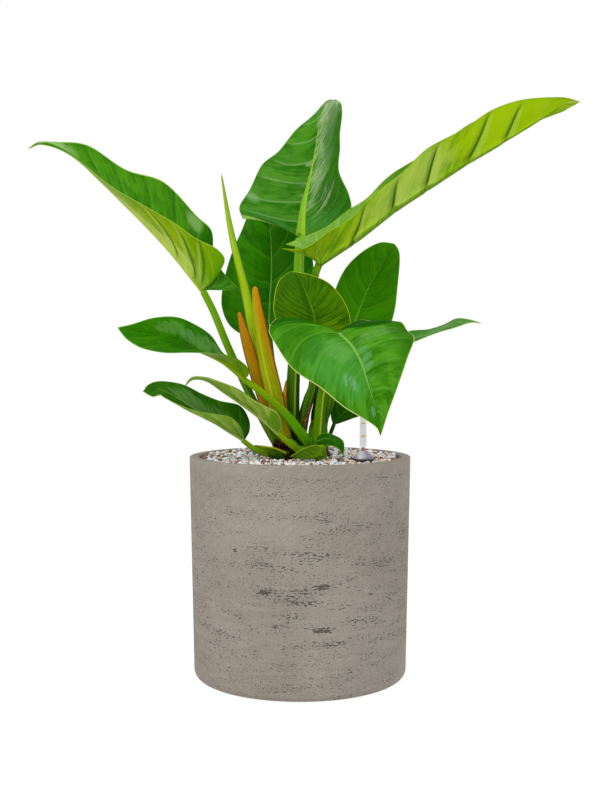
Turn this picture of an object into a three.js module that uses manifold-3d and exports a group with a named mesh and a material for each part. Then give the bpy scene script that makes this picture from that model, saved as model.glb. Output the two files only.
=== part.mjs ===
// A potted Imperial Green philodendron: one rosette of broad glossy leaves in a straight grey
// fibre-clay planter, with granules over the roots and a clear water gauge standing in them.
// Millimetres, +Z up. The origin is the centre of the planter's flat foot; -Y is the front.
import * as THREE from "three";
import { mergeVertices } from "three/addons/utils/BufferGeometryUtils.js";
import Module from "manifold-3d";

const wasm = await Module();
wasm.setup();

// Driving dimensions
const POT_HEIGHT = 280; // planter, foot to rim
const POT_RIM_RADIUS = 140; // planter, outside of the rim
const POT_FOOT_RADIUS = 135; // planter, outside just above the foot
const POT_WALL = 12.5; // planter wall
const POT_FLOOR = 16; // planter floor
const POT_FOOT_ROUND = 10; // radius where the wall turns into the foot
const POT_RIM_ROUND = 2; // radius of the rim's edges
const POT_SIDES = 48;
const CLEAR = 0.3; // gap kept between pieces that touch
const FILL_LEVEL = 273; // the bed of granules, under the loose top layer
const STONE = 8; // radius of the loose stones, larger than life
const STONE_COUNT = 210;
const STONE_FLATNESS = 0.7; // height of a stone as a share of its width
const BLADE_THICKNESS = 1.2;
const LAST_ROW = 0.985; // a blade stops just short of the point where its margins meet
const VEIN_CROWDING = 1.15; // over 1, side veins leave the midrib closer together near the joint
const VEIN_SWEEP = 0.1; // side veins bow back towards the joint by this share of their arch
const CURLED_SHARE = 0.25; // rows up to here follow the curl of the first vein
const RIB_DEPTH = 0.7; // the midrib under a blade, as a share of its stalk's radius
const FLAT_REACH = 8; // this far out from the midrib a blade turns with its own surface
const GAUGE_AT = [78, -44]; // the water gauge's place in the granules
const GAUGE_TUBE_RADIUS = 4.5;
const GAUGE_TUBE_WALL = 1;
const GAUGE_TUBE_TOP = 371;
const GAUGE_CASING_RADIUS = 11;
const GAUGE_DOME_RADIUS = 13.5;
const GAUGE_DOME_TOP = 290;
const FLOAT_TIP = 293; // the indicator's tip with the float on its stop
const FLOAT_RADIUS = 7.5;
const FLOAT_HEIGHT = 34;

const COLOURS = {
  clay: 0x9d968b,
  granules: 0xcfc4ba,
  stem: 0x3a2417,
  leaf: 0x2f7d12,
  olive: 0x5f8208,
  stalk: 0x5d9612,
  sheath: 0xc08410,
  new_leaf: 0x9dbb0a,
  clear: 0xdfe3e6,
  casing: 0x4c4650,
  float: 0xb0301a,
};

// Every leaf. The midrib runs from the stalk's joint to the tip, and both margins from the point
// where the lobes part to the tip, left and right as seen on the upper face with the tip ahead.
// The veins of the rows up to fan all start at the joint. Up is the way the upper face looks at the
// joint and at the tip. Bulge is how far the left and right half stand up between midrib and
// margin, as a share of their width, and curl bends the first vein, which is the lobe's inner edge,
// towards the tip. A wave is its height at the margin, its count and its phase on either side.
const LEAVES = [
  {
    name: "leaf_1",
    midrib: [
      [-122, -25, 489],
      [-153, -29, 528],
      [-183, -34, 561],
      [-220, -41, 598],
      [-250, -47, 627],
      [-277, -51, 652],
      [-307, -55, 665],
      [-330, -56, 658],
    ],
    left: [
      [-118, -29, 491],
      [-103, -42, 506],
      [-92, -54, 524],
      [-100, -60, 535],
      [-122, -66, 547],
      [-147, -70, 565],
      [-180, -74, 581],
      [-218, -73, 606],
      [-255, -68, 633],
      [-288, -61, 654],
      [-313, -57, 663],
      [-330, -56, 658],
    ],
    right: [
      [-76, 20, 490],
      [-95, 18, 510],
      [-110, 6, 534],
      [-112, -1, 565],
      [-132, -5, 585],
      [-171, -13, 623],
      [-215, -24, 638],
      [-258, -38, 663],
      [-292, -50, 667],
      [-315, -55, 667],
      [-330, -56, 658],
    ],
    fan: 0.24,
    up: [
      [0.5, -0.3, 0.8],
      [0.2, -0.3, 0.9],
    ],
    bulge: [-0.08, -0.1],
    wave: [2, 4, 0.5, 2],
    rows: 20,
    stalk: {
      route: [
        [-28, 4, 291],
        [-44, 6, 319],
        [-63, 5, 356],
        [-77, 2, 386],
        [-92, -4, 420],
        [-108, -16, 461],
        [-120, -24, 486],
      ],
      radius: [5.6, 4.3],
    },
  },
  {
    name: "leaf_2",
    midrib: [
      [0, 25, 559],
      [4, 33, 599],
      [12, 41, 634],
      [20, 49, 674],
      [26, 59, 714],
      [36, 76, 740],
      [50, 98, 743],
    ],
    left: [
      [-73, 13, 581],
      [-77, 18, 597],
      [-64, 26, 620],
      [-48, 38, 654],
      [-26, 46, 673],
      [-3, 55, 703],
      [22, 70, 727],
      [36, 86, 744],
      [50, 98, 743],
    ],
    right: [
      [28, 12, 554],
      [53, 3, 566],
      [65, 6, 591],
      [62, 14, 612],
      [50, 26, 642],
      [52, 36, 672],
      [51, 44, 693],
      [55, 56, 719],
      [54, 72, 738],
      [49, 88, 746],
      [50, 98, 743],
    ],
    fan: 0.12,
    up: [
      [0, -1, 0.2],
      [-0.1, -0.8, 0.6],
    ],
    curl: [0.07, 0],
    bulge: [0.06, -0.08],
    wave: [2, 4, 0.3, 2.2],
    rows: 20,
    stalk: {
      route: [
        [-11, 8, 296],
        [-10, 8, 331],
        [-8.5, 10, 376],
        [-5, 15, 440],
        [-2, 21, 510],
        [0, 25, 557],
      ],
      radius: [10.2, 5.8],
    },
  },
  {
    name: "leaf_3",
    midrib: [
      [25, -30, 523],
      [70, -37, 552],
      [114, -44, 585],
      [155, -52, 611],
      [198, -60, 638],
      [244, -67, 664],
      [287, -74, 690],
      [313, -77, 706],
      [334, -78, 710],
    ],
    left: [
      [-18, -14, 546],
      [5, -8, 556],
      [35, -8, 570],
      [63, -10, 590],
      [84, -18, 605],
      [114, -26, 631],
      [160, -32, 660],
      [218, -40, 695],
      [267, -52, 703],
      [306, -68, 697],
      [323, -75, 704],
      [334, -78, 710],
    ],
    right: [
      [-22, -46, 538],
      [5, -46, 539],
      [33, -46, 557],
      [61, -50, 574],
      [82, -54, 596],
      [119, -60, 625],
      [150, -68, 654],
      [191, -78, 675],
      [226, -84, 698],
      [265, -88, 710],
      [309, -84, 714],
      [334, -78, 710],
    ],
    fan: 0.18,
    up: [
      [-0.6, 0, 0.8],
      [-0.5, 0, 0.85],
    ],
    curl: [0.1, 0.03],
    bulge: [-0.05, -0.06],
    wave: [1.5, 5, 0, 1.5],
    rows: 20,
    stalk: {
      route: [
        [-1, 16, 298],
        [3.5, 14, 331],
        [10, 11, 352],
        [17, 7, 374],
        [18, -8, 439],
        [18, -26, 500],
        [24, -30, 521],
      ],
      radius: [5.6, 4.6],
    },
  },
  {
    name: "leaf_4",
    midrib: [
      [20, -57, 442],
      [15, -54, 464],
      [7, -48, 485],
      [0, -41, 501],
      [-12, -34, 511],
    ],
    left: [
      [16, -56, 438],
      [-2, -50, 431],
      [-21, -46, 439],
      [-31, -45, 456],
      [-32, -44, 475],
      [-26, -39, 499],
      [-12, -34, 511],
    ],
    right: [
      [23, -56, 438],
      [42, -50, 430],
      [60, -46, 437],
      [61, -45, 457],
      [52, -45, 477],
      [36, -42, 496],
      [15, -38, 506],
      [-2, -35, 510],
      [-12, -34, 511],
    ],
    fan: 0.26,
    up: [
      [0, -1, 0.3],
      [0, -1, 0.5],
    ],
    bulge: [0.04, 0.04],
    wave: [0, 2, 0, 1],
    rows: 12,
    stalk: {
      route: [
        [0, -1, 296],
        [4, -6, 320],
        [6, -11, 335],
        [11, -22, 356],
        [17, -37, 380],
        [19, -50, 404],
        [20, -57, 438],
      ],
      radius: [4, 2.8],
    },
  },
  {
    name: "leaf_5",
    midrib: [
      [46, -96, 434],
      [61, -110, 419],
      [71, -124, 400],
      [77, -136, 380],
      [83, -145, 360],
      [88, -152, 341],
      [92, -158, 316],
    ],
    left: [
      [57, -84, 444],
      [73, -77, 450],
      [90, -76, 448],
      [106, -80, 443],
      [120, -86, 447],
      [128, -94, 437],
      [135, -104, 428],
      [126, -120, 406],
      [114, -136, 375],
      [101, -149, 342],
      [92, -158, 316],
    ],
    right: [
      [26, -84, 438],
      [0, -76, 445],
      [-25, -74, 453],
      [-37, -82, 439],
      [-29, -94, 421],
      [-8, -112, 392],
      [23, -128, 371],
      [50, -140, 349],
      [72, -149, 336],
      [87, -155, 326],
      [92, -158, 316],
    ],
    fan: 0.35,
    up: [
      [0, -0.7, 0.7],
      [0, -0.95, 0.3],
    ],
    bulge: [0.08, 0.08],
    wave: [1, 3, 0.4, 1.4],
    rows: 20,
    stalk: {
      route: [
        [22, -2, 291],
        [24, -16, 322],
        [28, -42, 362],
        [38, -74, 408],
        [45, -95, 430],
      ],
      radius: [8, 4],
    },
  },
  {
    name: "leaf_6",
    midrib: [
      [68, 43, 443],
      [78, 49, 467],
      [89, 55, 493],
      [103, 60, 516],
      [115, 64, 536],
      [124, 66, 554],
    ],
    left: [
      [64, 42, 440],
      [50, 42, 445],
      [40, 44, 469],
      [47, 48, 495],
      [60, 53, 521],
      [81, 59, 542],
      [105, 64, 555],
      [124, 66, 554],
    ],
    right: [
      [72, 42, 440],
      [94, 42, 431],
      [113, 43, 439],
      [123, 47, 463],
      [128, 54, 499],
      [131, 60, 529],
      [130, 64, 545],
      [124, 66, 554],
    ],
    fan: 0.24,
    up: [
      [0, -1, 0.3],
      [0, -1, 0.4],
    ],
    bulge: [0.06, 0.06],
    wave: [0, 2, 0, 1],
    rows: 14,
    stalk: {
      route: [
        [28, 11, 268],
        [29, 12, 292],
        [33, 19, 324],
        [42, 27, 360],
        [54, 37, 408],
        [67, 43, 440],
      ],
      radius: [4.5, 2.8],
    },
  },
  {
    name: "leaf_7",
    midrib: [
      [116, 19, 414],
      [144, 22, 427],
      [172, 28, 437],
      [197, 35, 447],
      [219, 40, 450],
      [236, 43, 449],
    ],
    left: [
      [116, 22, 419],
      [127, 32, 432],
      [144, 40, 439],
      [168, 49, 441],
      [188, 54, 447],
      [205, 54, 455],
      [220, 49, 454],
      [236, 43, 449],
    ],
    right: [
      [117, 17, 411],
      [130, 9, 416],
      [150, 5, 426],
      [176, 10, 436],
      [201, 22, 443],
      [220, 34, 449],
      [236, 43, 449],
    ],
    fan: 0.1,
    up: [
      [-0.3, -0.1, 0.95],
      [-0.1, -0.1, 1],
    ],
    bulge: [-0.06, 0.04],
    wave: [0, 2, 0, 1],
    rows: 12,
    stalk: {
      route: [
        [32, 3, 268],
        [33, 5, 292],
        [32, 8, 325],
        [41, 12, 352],
        [72, 16, 386],
        [115, 19, 413],
      ],
      radius: [4, 2.6],
    },
  },
  {
    name: "leaf_8",
    midrib: [
      [-41, 66, 448],
      [-40, 75, 480],
      [-38, 84, 518],
      [-39, 92, 561],
      [-43, 99, 609],
      [-48, 103, 653],
    ],
    left: [
      [-57, 62, 434],
      [-75, 62, 434],
      [-94, 65, 448],
      [-104, 73, 474],
      [-101, 82, 507],
      [-91, 90, 544],
      [-77, 96, 577],
      [-62, 101, 618],
      [-48, 103, 653],
    ],
    right: [
      [-22, 62, 436],
      [-1, 64, 444],
      [12, 70, 471],
      [17, 78, 507],
      [17, 84, 534],
      [8, 92, 574],
      [-9, 99, 615],
      [-30, 103, 640],
      [-48, 103, 653],
    ],
    fan: 0.2,
    up: [
      [0, -1, 0.2],
      [0, -1, 0.1],
    ],
    bulge: [0.06, 0.06],
    wave: [0, 2, 0.6, 1.8],
    rows: 16,
    stalk: {
      route: [
        [-20, 20, 294],
        [-26, 32, 330],
        [-36, 49, 388],
        [-42, 64, 444],
      ],
      radius: [6, 4.2],
    },
  },
  {
    name: "leaf_9",
    midrib: [
      [-71, -35, 379],
      [-95, -42, 399],
      [-121, -51, 412],
      [-144, -60, 423],
      [-166, -68, 431],
      [-193, -77, 436],
      [-218, -85, 441],
    ],
    left: [
      [-69, -38, 378],
      [-63, -46, 385],
      [-68, -56, 397],
      [-87, -66, 407],
      [-112, -76, 411],
      [-138, -84, 411],
      [-162, -91, 411],
      [-187, -93, 416],
      [-204, -91, 425],
      [-213, -88, 434],
      [-218, -85, 441],
    ],
    right: [
      [-68, -33, 382],
      [-66, -24, 392],
      [-80, -18, 404],
      [-96, -20, 410],
      [-110, -28, 431],
      [-127, -40, 444],
      [-150, -54, 454],
      [-177, -66, 453],
      [-202, -78, 445],
      [-218, -85, 441],
    ],
    fan: 0.14,
    up: [
      [0.5, -0.2, 0.8],
      [0.1, -0.5, 0.85],
    ],
    bulge: [0.02, 0.06],
    wave: [0, 2, 0.4, 1.2],
    rows: 18,
    stalk: {
      route: [
        [13, -8, 292],
        [0, -19, 311],
        [-19, -27, 335],
        [-47, -33, 361],
        [-69, -35, 377],
      ],
      radius: [7.6, 3.6],
    },
  },
  {
    name: "leaf_10",
    midrib: [
      [-70, -60, 304],
      [-89, -67, 317],
      [-108, -75, 330],
      [-126, -84, 343],
      [-146, -93, 357],
      [-166, -99, 368],
      [-186, -103, 365],
    ],
    left: [
      [-68, -63, 303],
      [-71, -74, 319],
      [-83, -84, 333],
      [-104, -92, 338],
      [-125, -99, 342],
      [-144, -105, 350],
      [-160, -108, 358],
      [-166, -108, 362],
      [-174, -107, 359],
      [-186, -103, 365],
    ],
    right: [
      [-67, -57, 305],
      [-62, -49, 316],
      [-64, -45, 331],
      [-75, -48, 346],
      [-98, -58, 352],
      [-119, -68, 361],
      [-142, -80, 373],
      [-167, -93, 377],
      [-180, -100, 373],
      [-186, -103, 365],
    ],
    fan: 0.18,
    up: [
      [0.4, -0.2, 0.85],
      [0.1, -0.4, 0.9],
    ],
    bulge: [-0.06, 0.06],
    wave: [0, 2, 0.4, 1.2],
    rows: 18,
    stalk: {
      route: [
        [-8, -12, 266],
        [-14, -18, 285],
        [-36, -34, 285],
        [-54, -49, 291],
        [-69, -60, 303],
      ],
      radius: [5, 3],
    },
  },
  {
    name: "leaf_11",
    midrib: [
      [-27, -46, 311],
      [-47, -50, 329],
      [-69, -54, 346],
      [-92, -58, 362],
      [-113, -62, 376],
      [-130, -66, 378],
      [-141, -68, 369],
    ],
    left: [
      [-26, -49, 312],
      [-23, -53, 324],
      [-29, -57, 338],
      [-50, -60, 349],
      [-72, -65, 363],
      [-92, -68, 374],
      [-114, -69, 380],
      [-131, -69, 381],
      [-141, -68, 369],
    ],
    right: [
      [-25, -43, 312],
      [-24, -37, 322],
      [-31, -32, 336],
      [-55, -37, 351],
      [-76, -45, 366],
      [-97, -52, 375],
      [-115, -59, 381],
      [-132, -64, 381],
      [-141, -68, 369],
    ],
    fan: 0.2,
    up: [
      [0.6, 0, 0.8],
      [0.4, 0, 0.9],
    ],
    bulge: [-0.1, -0.1],
    wave: [0, 2, 0, 1],
    rows: 14,
    stalk: {
      route: [
        [10, -16, 266],
        [8, -22, 285],
        [-4, -32, 291],
        [-15, -40, 300],
        [-26, -46, 310],
      ],
      radius: [6.4, 3],
    },
  },
  {
    name: "leaf_12",
    midrib: [
      [44, 25, 318],
      [57, 28, 332],
      [72, 36, 349],
      [88, 46, 367],
      [105, 56, 385],
    ],
    left: [
      [42, 25, 320],
      [40, 26, 332],
      [44, 30, 349],
      [57, 38, 366],
      [79, 48, 380],
      [105, 56, 385],
    ],
    right: [
      [74, 30, 327],
      [91, 38, 337],
      [105, 48, 356],
      [105, 56, 385],
    ],
    fan: 0.2,
    up: [
      [0, -1, 0.3],
      [0, -0.9, 0.5],
    ],
    bulge: [0.04, 0.04],
    wave: [0, 2, 0, 1],
    rows: 12,
    stalk: {
      route: [
        [32, 19, 266],
        [34, 22, 289],
        [38, 24, 302],
        [44, 25, 318],
      ],
      radius: [3.4, 2.4],
    },
  },
  {
    name: "leaf_13",
    midrib: [
      [25, -48, 287],
      [14, -55, 284],
      [1, -64, 283],
      [-12, -72, 285],
    ],
    left: [
      [27, -49, 291],
      [20, -58, 298],
      [5, -70, 295],
      [-6, -74, 289],
      [-12, -72, 285],
    ],
    right: [
      [23, -46, 288],
      [14, -45, 291],
      [5, -51, 291],
      [-5, -62, 288],
      [-12, -72, 285],
    ],
    fan: 0.2,
    up: [
      [0.1, 0.3, 0.95],
      [0.1, 0.3, 0.95],
    ],
    bulge: [-0.1, -0.1],
    wave: [0, 2, 0, 1],
    rows: 8,
    stalk: {
      route: [
        [27, -37, 266],
        [26, -40, 280],
        [25, -43, 294],
      ],
      radius: [8, 7],
      depth: 0.6,
    },
  },
  {
    name: "leaf_14",
    midrib: [
      [22, -32, 300],
      [31, -40, 304],
      [42, -48, 303],
      [50, -53, 296],
      [53, -56, 284],
    ],
    left: [
      [22, -29, 302],
      [24, -27, 307],
      [32, -32, 311],
      [46, -41, 307],
      [54, -50, 300],
      [53, -56, 284],
    ],
    right: [
      [23, -34, 299],
      [31, -46, 297],
      [40, -55, 296],
      [47, -59, 293],
      [53, -56, 284],
    ],
    fan: 0.2,
    up: [
      [-0.3, -0.3, 0.9],
      [0.8, -0.4, 0.4],
    ],
    bulge: [0.06, 0.06],
    wave: [0, 2, 0, 1],
    rows: 10,
    stalk: {
      route: [
        [26, -6, 286],
        [25, -18, 295],
        [22, -30, 299],
      ],
      radius: [3, 2],
    },
  },
];

// Shoots without a blade: the rolled new leaf, the orange sheaths round it and a basal scale
const SHOOTS = [
  {
    name: "sheath_1",
    route: [
      [-14, -5, 288],
      [-18, -9, 306],
      [-25, -10, 331],
      [-35, -12, 370],
      [-46, -11, 420],
      [-53, -10, 464],
      [-57, -9, 494],
    ],
    radii: [5, 7.6, 10.2, 10.6, 9.6, 6.6, 3.4],
    depth: 0.7,
    colour: "sheath",
  },
  {
    name: "sheath_2",
    route: [
      [-34, -2, 318],
      [-43, -3, 344],
      [-55, -5, 382],
      [-68, -7, 427],
      [-77, -8, 462],
    ],
    radii: [6, 7.8, 8.2, 6.6, 2.4],
    depth: 0.6,
    colour: "sheath",
  },
  {
    name: "new_leaf",
    route: [
      [-30, 12, 304],
      [-42, 12, 357],
      [-56, 12, 420],
      [-67, 12, 477],
      [-79, 12, 526],
      [-90, 12, 576],
      [-100, 12, 638],
    ],
    radii: [5, 6.4, 7, 6.4, 5, 3.4, 0.9],
    depth: 0.9,
    colour: "new_leaf",
  },
  {
    name: "basal_scale",
    route: [
      [-18, -24, 283],
      [-32, -26, 286],
      [-46, -27, 290],
      [-57, -28, 294],
    ],
    radii: [6, 6, 4.5, 1.6],
    depth: 0.45,
    colour: "stalk",
  },
];

const STEMS = [
  {
    name: "main_stem",
    route: [
      [-20, 2, 216],
      [-21, 2, 262],
      [-21, 1, 286],
      [-19, 0, 299],
    ],
    radii: [12, 15, 14, 8],
  },
  {
    name: "side_stem",
    route: [
      [26, 4, 226],
      [27, 4, 264],
      [27, 3, 282],
      [27, 3, 290],
    ],
    radii: [9, 12, 11, 7],
  },
];

const vector = (p) => new THREE.Vector3(...p);
const curveOf = (points) => new THREE.CatmullRomCurve3(points.map(vector), false, "catmullrom");
const { lerp: mix, degToRad: radians } = THREE.MathUtils;

// A solid from a closed geometry: equal vertices become one, and the triangles that have shrunk to
// a line where a fan of veins meets are left out.
function solidFrom(geometry) {
  const bare = geometry.clone();
  bare.deleteAttribute("normal");
  bare.deleteAttribute("uv");
  const merged = mergeVertices(bare, 1e-4);
  const order = merged.index.array;
  const triangles = [];
  for (let i = 0; i < order.length; i += 3) {
    const [a, b, c] = order.slice(i, i + 3);
    if (a !== b && b !== c && c !== a) triangles.push(a, b, c);
  }
  return new wasm.Manifold(
    new wasm.Mesh({
      numProp: 3,
      vertProperties: merged.attributes.position.array,
      triVerts: new Uint32Array(triangles),
    }),
  );
}

function geometryFrom(solid) {
  const mesh = solid.getMesh();
  const geometry = new THREE.BufferGeometry();
  geometry.setAttribute("position", new THREE.BufferAttribute(mesh.vertProperties, 3));
  geometry.setIndex(new THREE.BufferAttribute(mesh.triVerts, 1));
  geometry.computeVertexNormals();
  return geometry;
}

// The largest body of a solid: scraps left by a cut are dropped.
function largest(solid) {
  const bodies = solid.decompose();
  return bodies.reduce((best, body) => (body.volume() > best.volume() ? body : best));
}

// Where on the midrib a side vein starts, as a share of the midrib
function veinFoot(leaf, row) {
  return Math.max(0, (row - leaf.fan) / (1 - leaf.fan)) ** VEIN_CROWDING;
}

// A point of the blade's middle surface: row from 0 at the sinus to 1 at the tip, hand -1 on the
// left half and 1 on the right, out from 0 on the midrib to 1 on the margin
function bladePoint(leaf, curves, row, hand, out) {
  const side = hand < 0 ? 0 : 1;
  const foot = veinFoot(leaf, row);
  const start = curves.midrib.getPoint(foot);
  const chord = curves.margins[side].getPoint(row).sub(start);
  const width = chord.length();
  const up = vector(leaf.up[0]).lerp(vector(leaf.up[1]), row);
  up.addScaledVector(chord, -up.dot(chord) / (width * width)).normalize();
  const arch = 4 * out * (1 - out) * width;
  const bulge = leaf.bulge[side] * Math.min(1, row / leaf.fan);
  const curl = (leaf.curl?.[side] ?? 0) * Math.max(0, 1 - row / CURLED_SHARE);
  const [height, count, ...phases] = leaf.wave;
  const ripple = height * out * out * Math.sin(2 * Math.PI * count * row + phases[side]);
  return start
    .addScaledVector(chord, out)
    .addScaledVector(up, bulge * arch + ripple * Math.sin(Math.PI * row))
    .addScaledVector(curves.midrib.getTangent(foot), arch * (curl - VEIN_SWEEP * Math.sin(Math.PI * row)));
}

// The way the blade faces at a point: square to the rib on the midrib, and square to the surface
// further out. The veins lie so close together by the joint that the first holds there as well.
function bladeNormal(leaf, curves, row, hand, out) {
  const foot = veinFoot(leaf, row);
  const rib = curves.midrib.getTangent(foot);
  const up = vector(leaf.up[0]).lerp(vector(leaf.up[1]), foot);
  up.addScaledVector(rib, -up.dot(rib)).normalize();
  if (out === 0) return up;
  const step = 0.02;
  const [low, high] = [Math.max(0, row - step), Math.min(LAST_ROW, row + step)];
  const place = bladePoint(leaf, curves, row, hand, out);
  const alongRow = bladePoint(leaf, curves, high, hand, out);
  alongRow.sub(bladePoint(leaf, curves, low, hand, out));
  const across = place.clone().sub(bladePoint(leaf, curves, row, hand, out - 0.1));
  const normal = across.cross(alongRow).multiplyScalar(hand).normalize();
  const reach = place.distanceTo(curves.midrib.getPoint(foot));
  return normal.lerp(up, Math.max(0, 1 - reach / FLAT_REACH)).normalize();
}

// A closed plate between two skins of one grid. Both skins are split into triangles alike.
function plate(grid, topSkin, bottomSkin, columns, rows) {
  const count = grid.attributes.position.count;
  const order = grid.index.array;
  const faces = [];
  for (let i = 0; i < order.length; i += 3) {
    const [a, b, c] = order.slice(i, i + 3);
    faces.push(a, b, c, a + count, c + count, b + count);
  }
  const across = columns + 1;
  const rim = [];
  for (let i = 0; i < columns; i++) rim.push(i);
  for (let j = 0; j < rows; j++) rim.push(j * across + columns);
  for (let i = columns; i > 0; i--) rim.push(rows * across + i);
  for (let j = rows; j > 0; j--) rim.push(j * across);
  rim.forEach((a, i) => {
    const b = rim[(i + 1) % rim.length];
    faces.push(a, b, b + count, a, b + count, a + count);
  });
  const geometry = new THREE.BufferGeometry();
  const points = [...topSkin, ...bottomSkin].flatMap((p) => p.toArray());
  geometry.setAttribute("position", new THREE.Float32BufferAttribute(points, 3));
  geometry.setIndex(faces);
  return solidFrom(geometry);
}

// A blade: each row of the grid is a side vein, which runs from the midrib to the margin. The
// midrib stands out underneath and thins towards the tip.
function blade(leaf, thickness) {
  const steps = [-1, -0.5, -0.08, 0, 0.08, 0.5, 1];
  const columns = steps.length - 1;
  const grid = new THREE.PlaneGeometry(1, 1, columns, leaf.rows);
  const curves = { midrib: curveOf(leaf.midrib), margins: [curveOf(leaf.left), curveOf(leaf.right)] };
  const [topSkin, bottomSkin] = [[], []];
  const position = grid.attributes.position;
  for (let i = 0; i < position.count; i++) {
    const row = (position.getY(i) + 0.5) * LAST_ROW;
    const place = steps[Math.round((position.getX(i) + 0.5) * columns)];
    const hand = place < 0 ? -1 : 1;
    const out = Math.abs(place);
    const middle = bladePoint(leaf, curves, row, hand, out);
    const normal = bladeNormal(leaf, curves, row, hand, out);
    const rib = out === 0 ? leaf.stalk.radius[1] * RIB_DEPTH * (1 - veinFoot(leaf, row)) : 0;
    topSkin.push(middle.clone().addScaledVector(normal, thickness / 2));
    bottomSkin.push(middle.clone().addScaledVector(normal, -thickness / 2 - rib));
  }
  return plate(grid, topSkin, bottomSkin, columns, leaf.rows);
}

// A stalk: a closed tube with an oval section and its own radius at every point of its route.
// It is swollen by grow to cut room for itself.
function stalk(route, radii, { sides = 8, depth = 1, grow = 0 } = {}) {
  const steps = 2 * route.length;
  const curve = curveOf(route);
  const widths = curveOf(radii.map((radius) => [radius, 0, 0]));
  const geometry = new THREE.CylinderGeometry(1, 1, 1, sides, steps);
  const position = geometry.attributes.position;
  for (let i = 0; i < position.count; i++) {
    const along = 0.5 - position.getY(i);
    const forward = curve.getTangent(along);
    const front = new THREE.Vector3(0, -1, 0.05);
    front.addScaledVector(forward, -front.dot(forward)).normalize();
    const side = new THREE.Vector3().crossVectors(front, forward);
    const radius = widths.getPoint(along).x + grow;
    const end = along === 0 ? -grow : along === 1 ? grow : 0;
    const place = curve.getPoint(along).addScaledVector(forward, end);
    place.addScaledVector(side, position.getX(i) * radius);
    place.addScaledVector(front, position.getZ(i) * radius * depth);
    position.setXYZ(i, place.x, place.y, place.z);
  }
  return solidFrom(geometry);
}

function lathe(profile, segments, [x, y] = [0, 0]) {
  const outline = profile.map((p) => new THREE.Vector2(...p));
  const geometry = new THREE.LatheGeometry(outline, segments);
  geometry.rotateX(Math.PI / 2);
  geometry.translate(x, y, 0);
  return solidFrom(geometry);
}

// Part of a round edge, as profile points
function round(centre, radius, from, to, count) {
  return Array.from({ length: count + 1 }, (_, i) => {
    const angle = radians(mix(from, to, i / count));
    return [centre[0] + radius * Math.cos(angle), centre[1] + radius * Math.sin(angle)];
  });
}

// The planter: a straight, slightly tapered pot with a rounded foot, open at the top
const innerRimRadius = POT_RIM_RADIUS - POT_WALL;
const innerFloorRadius = POT_FOOT_RADIUS - POT_WALL;

function planter() {
  const footCentre = [POT_FOOT_RADIUS - POT_FOOT_ROUND, POT_FOOT_ROUND];
  const outerEdge = [POT_RIM_RADIUS - POT_RIM_ROUND, POT_HEIGHT - POT_RIM_ROUND];
  const innerEdge = [innerRimRadius + POT_RIM_ROUND, POT_HEIGHT - POT_RIM_ROUND];
  return lathe(
    [
      [0, 0],
      ...round(footCentre, POT_FOOT_ROUND, -90, 0, 4),
      ...round(outerEdge, POT_RIM_ROUND, 0, 90, 2),
      ...round(innerEdge, POT_RIM_ROUND, 90, 180, 2),
      [innerFloorRadius, POT_FLOOR],
      [0, POT_FLOOR],
    ],
    POT_SIDES,
  );
}

// A repeatable draw between 0 and 1
function seeded(seed) {
  let state = seed;
  return () => {
    state = (state * 1664525 + 1013904223) % 4294967296;
    return state / 4294967296;
  };
}

// The granules: a plain bed up to just under the rim, covered with loose stones that are fused
// into it, on a sunflower spiral. Stems and the gauge stand in plain holes.
function granules(holes, kept) {
  const draw = seeded(11);
  const bedRadius = innerRimRadius - CLEAR - 1;
  const bed = lathe(
    [
      [0, POT_FLOOR + CLEAR],
      [innerFloorRadius - CLEAR - 1, POT_FLOOR + CLEAR],
      [bedRadius, FILL_LEVEL],
      [0, FILL_LEVEL],
    ],
    POT_SIDES,
  );
  const goldenAngle = Math.PI * (3 - Math.sqrt(5));
  const stones = [];
  for (let i = 0; i < STONE_COUNT; i++) {
    const reach = (bedRadius - STONE) * Math.sqrt((i + 0.5) / STONE_COUNT);
    const [x, y] = [reach * Math.cos(i * goldenAngle), reach * Math.sin(i * goldenAngle)];
    const size = STONE * mix(0.85, 1.15, draw());
    const [turnX, turnY, turnZ] = [draw() * 6.28, draw() * 6.28, draw() * 6.28];
    const sink = STONE * mix(-0.3, 0.05, draw());
    if (kept.some(([keptX, keptY, radius]) => Math.hypot(x - keptX, y - keptY) < radius + size * 0.6)) {
      continue;
    }
    const stone = new THREE.OctahedronGeometry(size, 0);
    stone.rotateX(turnX).rotateY(turnY).rotateZ(turnZ);
    stone.scale(1, 1, STONE_FLATNESS);
    stone.translate(x, y, FILL_LEVEL + sink);
    stones.push(solidFrom(stone));
  }
  const heap = wasm.Manifold.union([bed, ...stones]);
  return holes.reduce((left, hole) => left.subtract(hole), heap);
}

// The water gauge: a casing down in the granules, a clear dome and tube on it, and the float
const gaugeFoot = POT_FLOOR + 2 * CLEAR;
const casingTop = FILL_LEVEL + 1;
const domeFoot = casingTop + CLEAR;

function gaugeCasing() {
  const wall = 1.5;
  return lathe(
    [
      [4, gaugeFoot],
      [GAUGE_CASING_RADIUS, gaugeFoot],
      [GAUGE_CASING_RADIUS, casingTop],
      [GAUGE_CASING_RADIUS - wall, casingTop],
      [GAUGE_CASING_RADIUS - wall, gaugeFoot + 2],
      [4, gaugeFoot + 2],
      [4, gaugeFoot],
    ],
    16,
    GAUGE_AT,
  );
}

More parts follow.
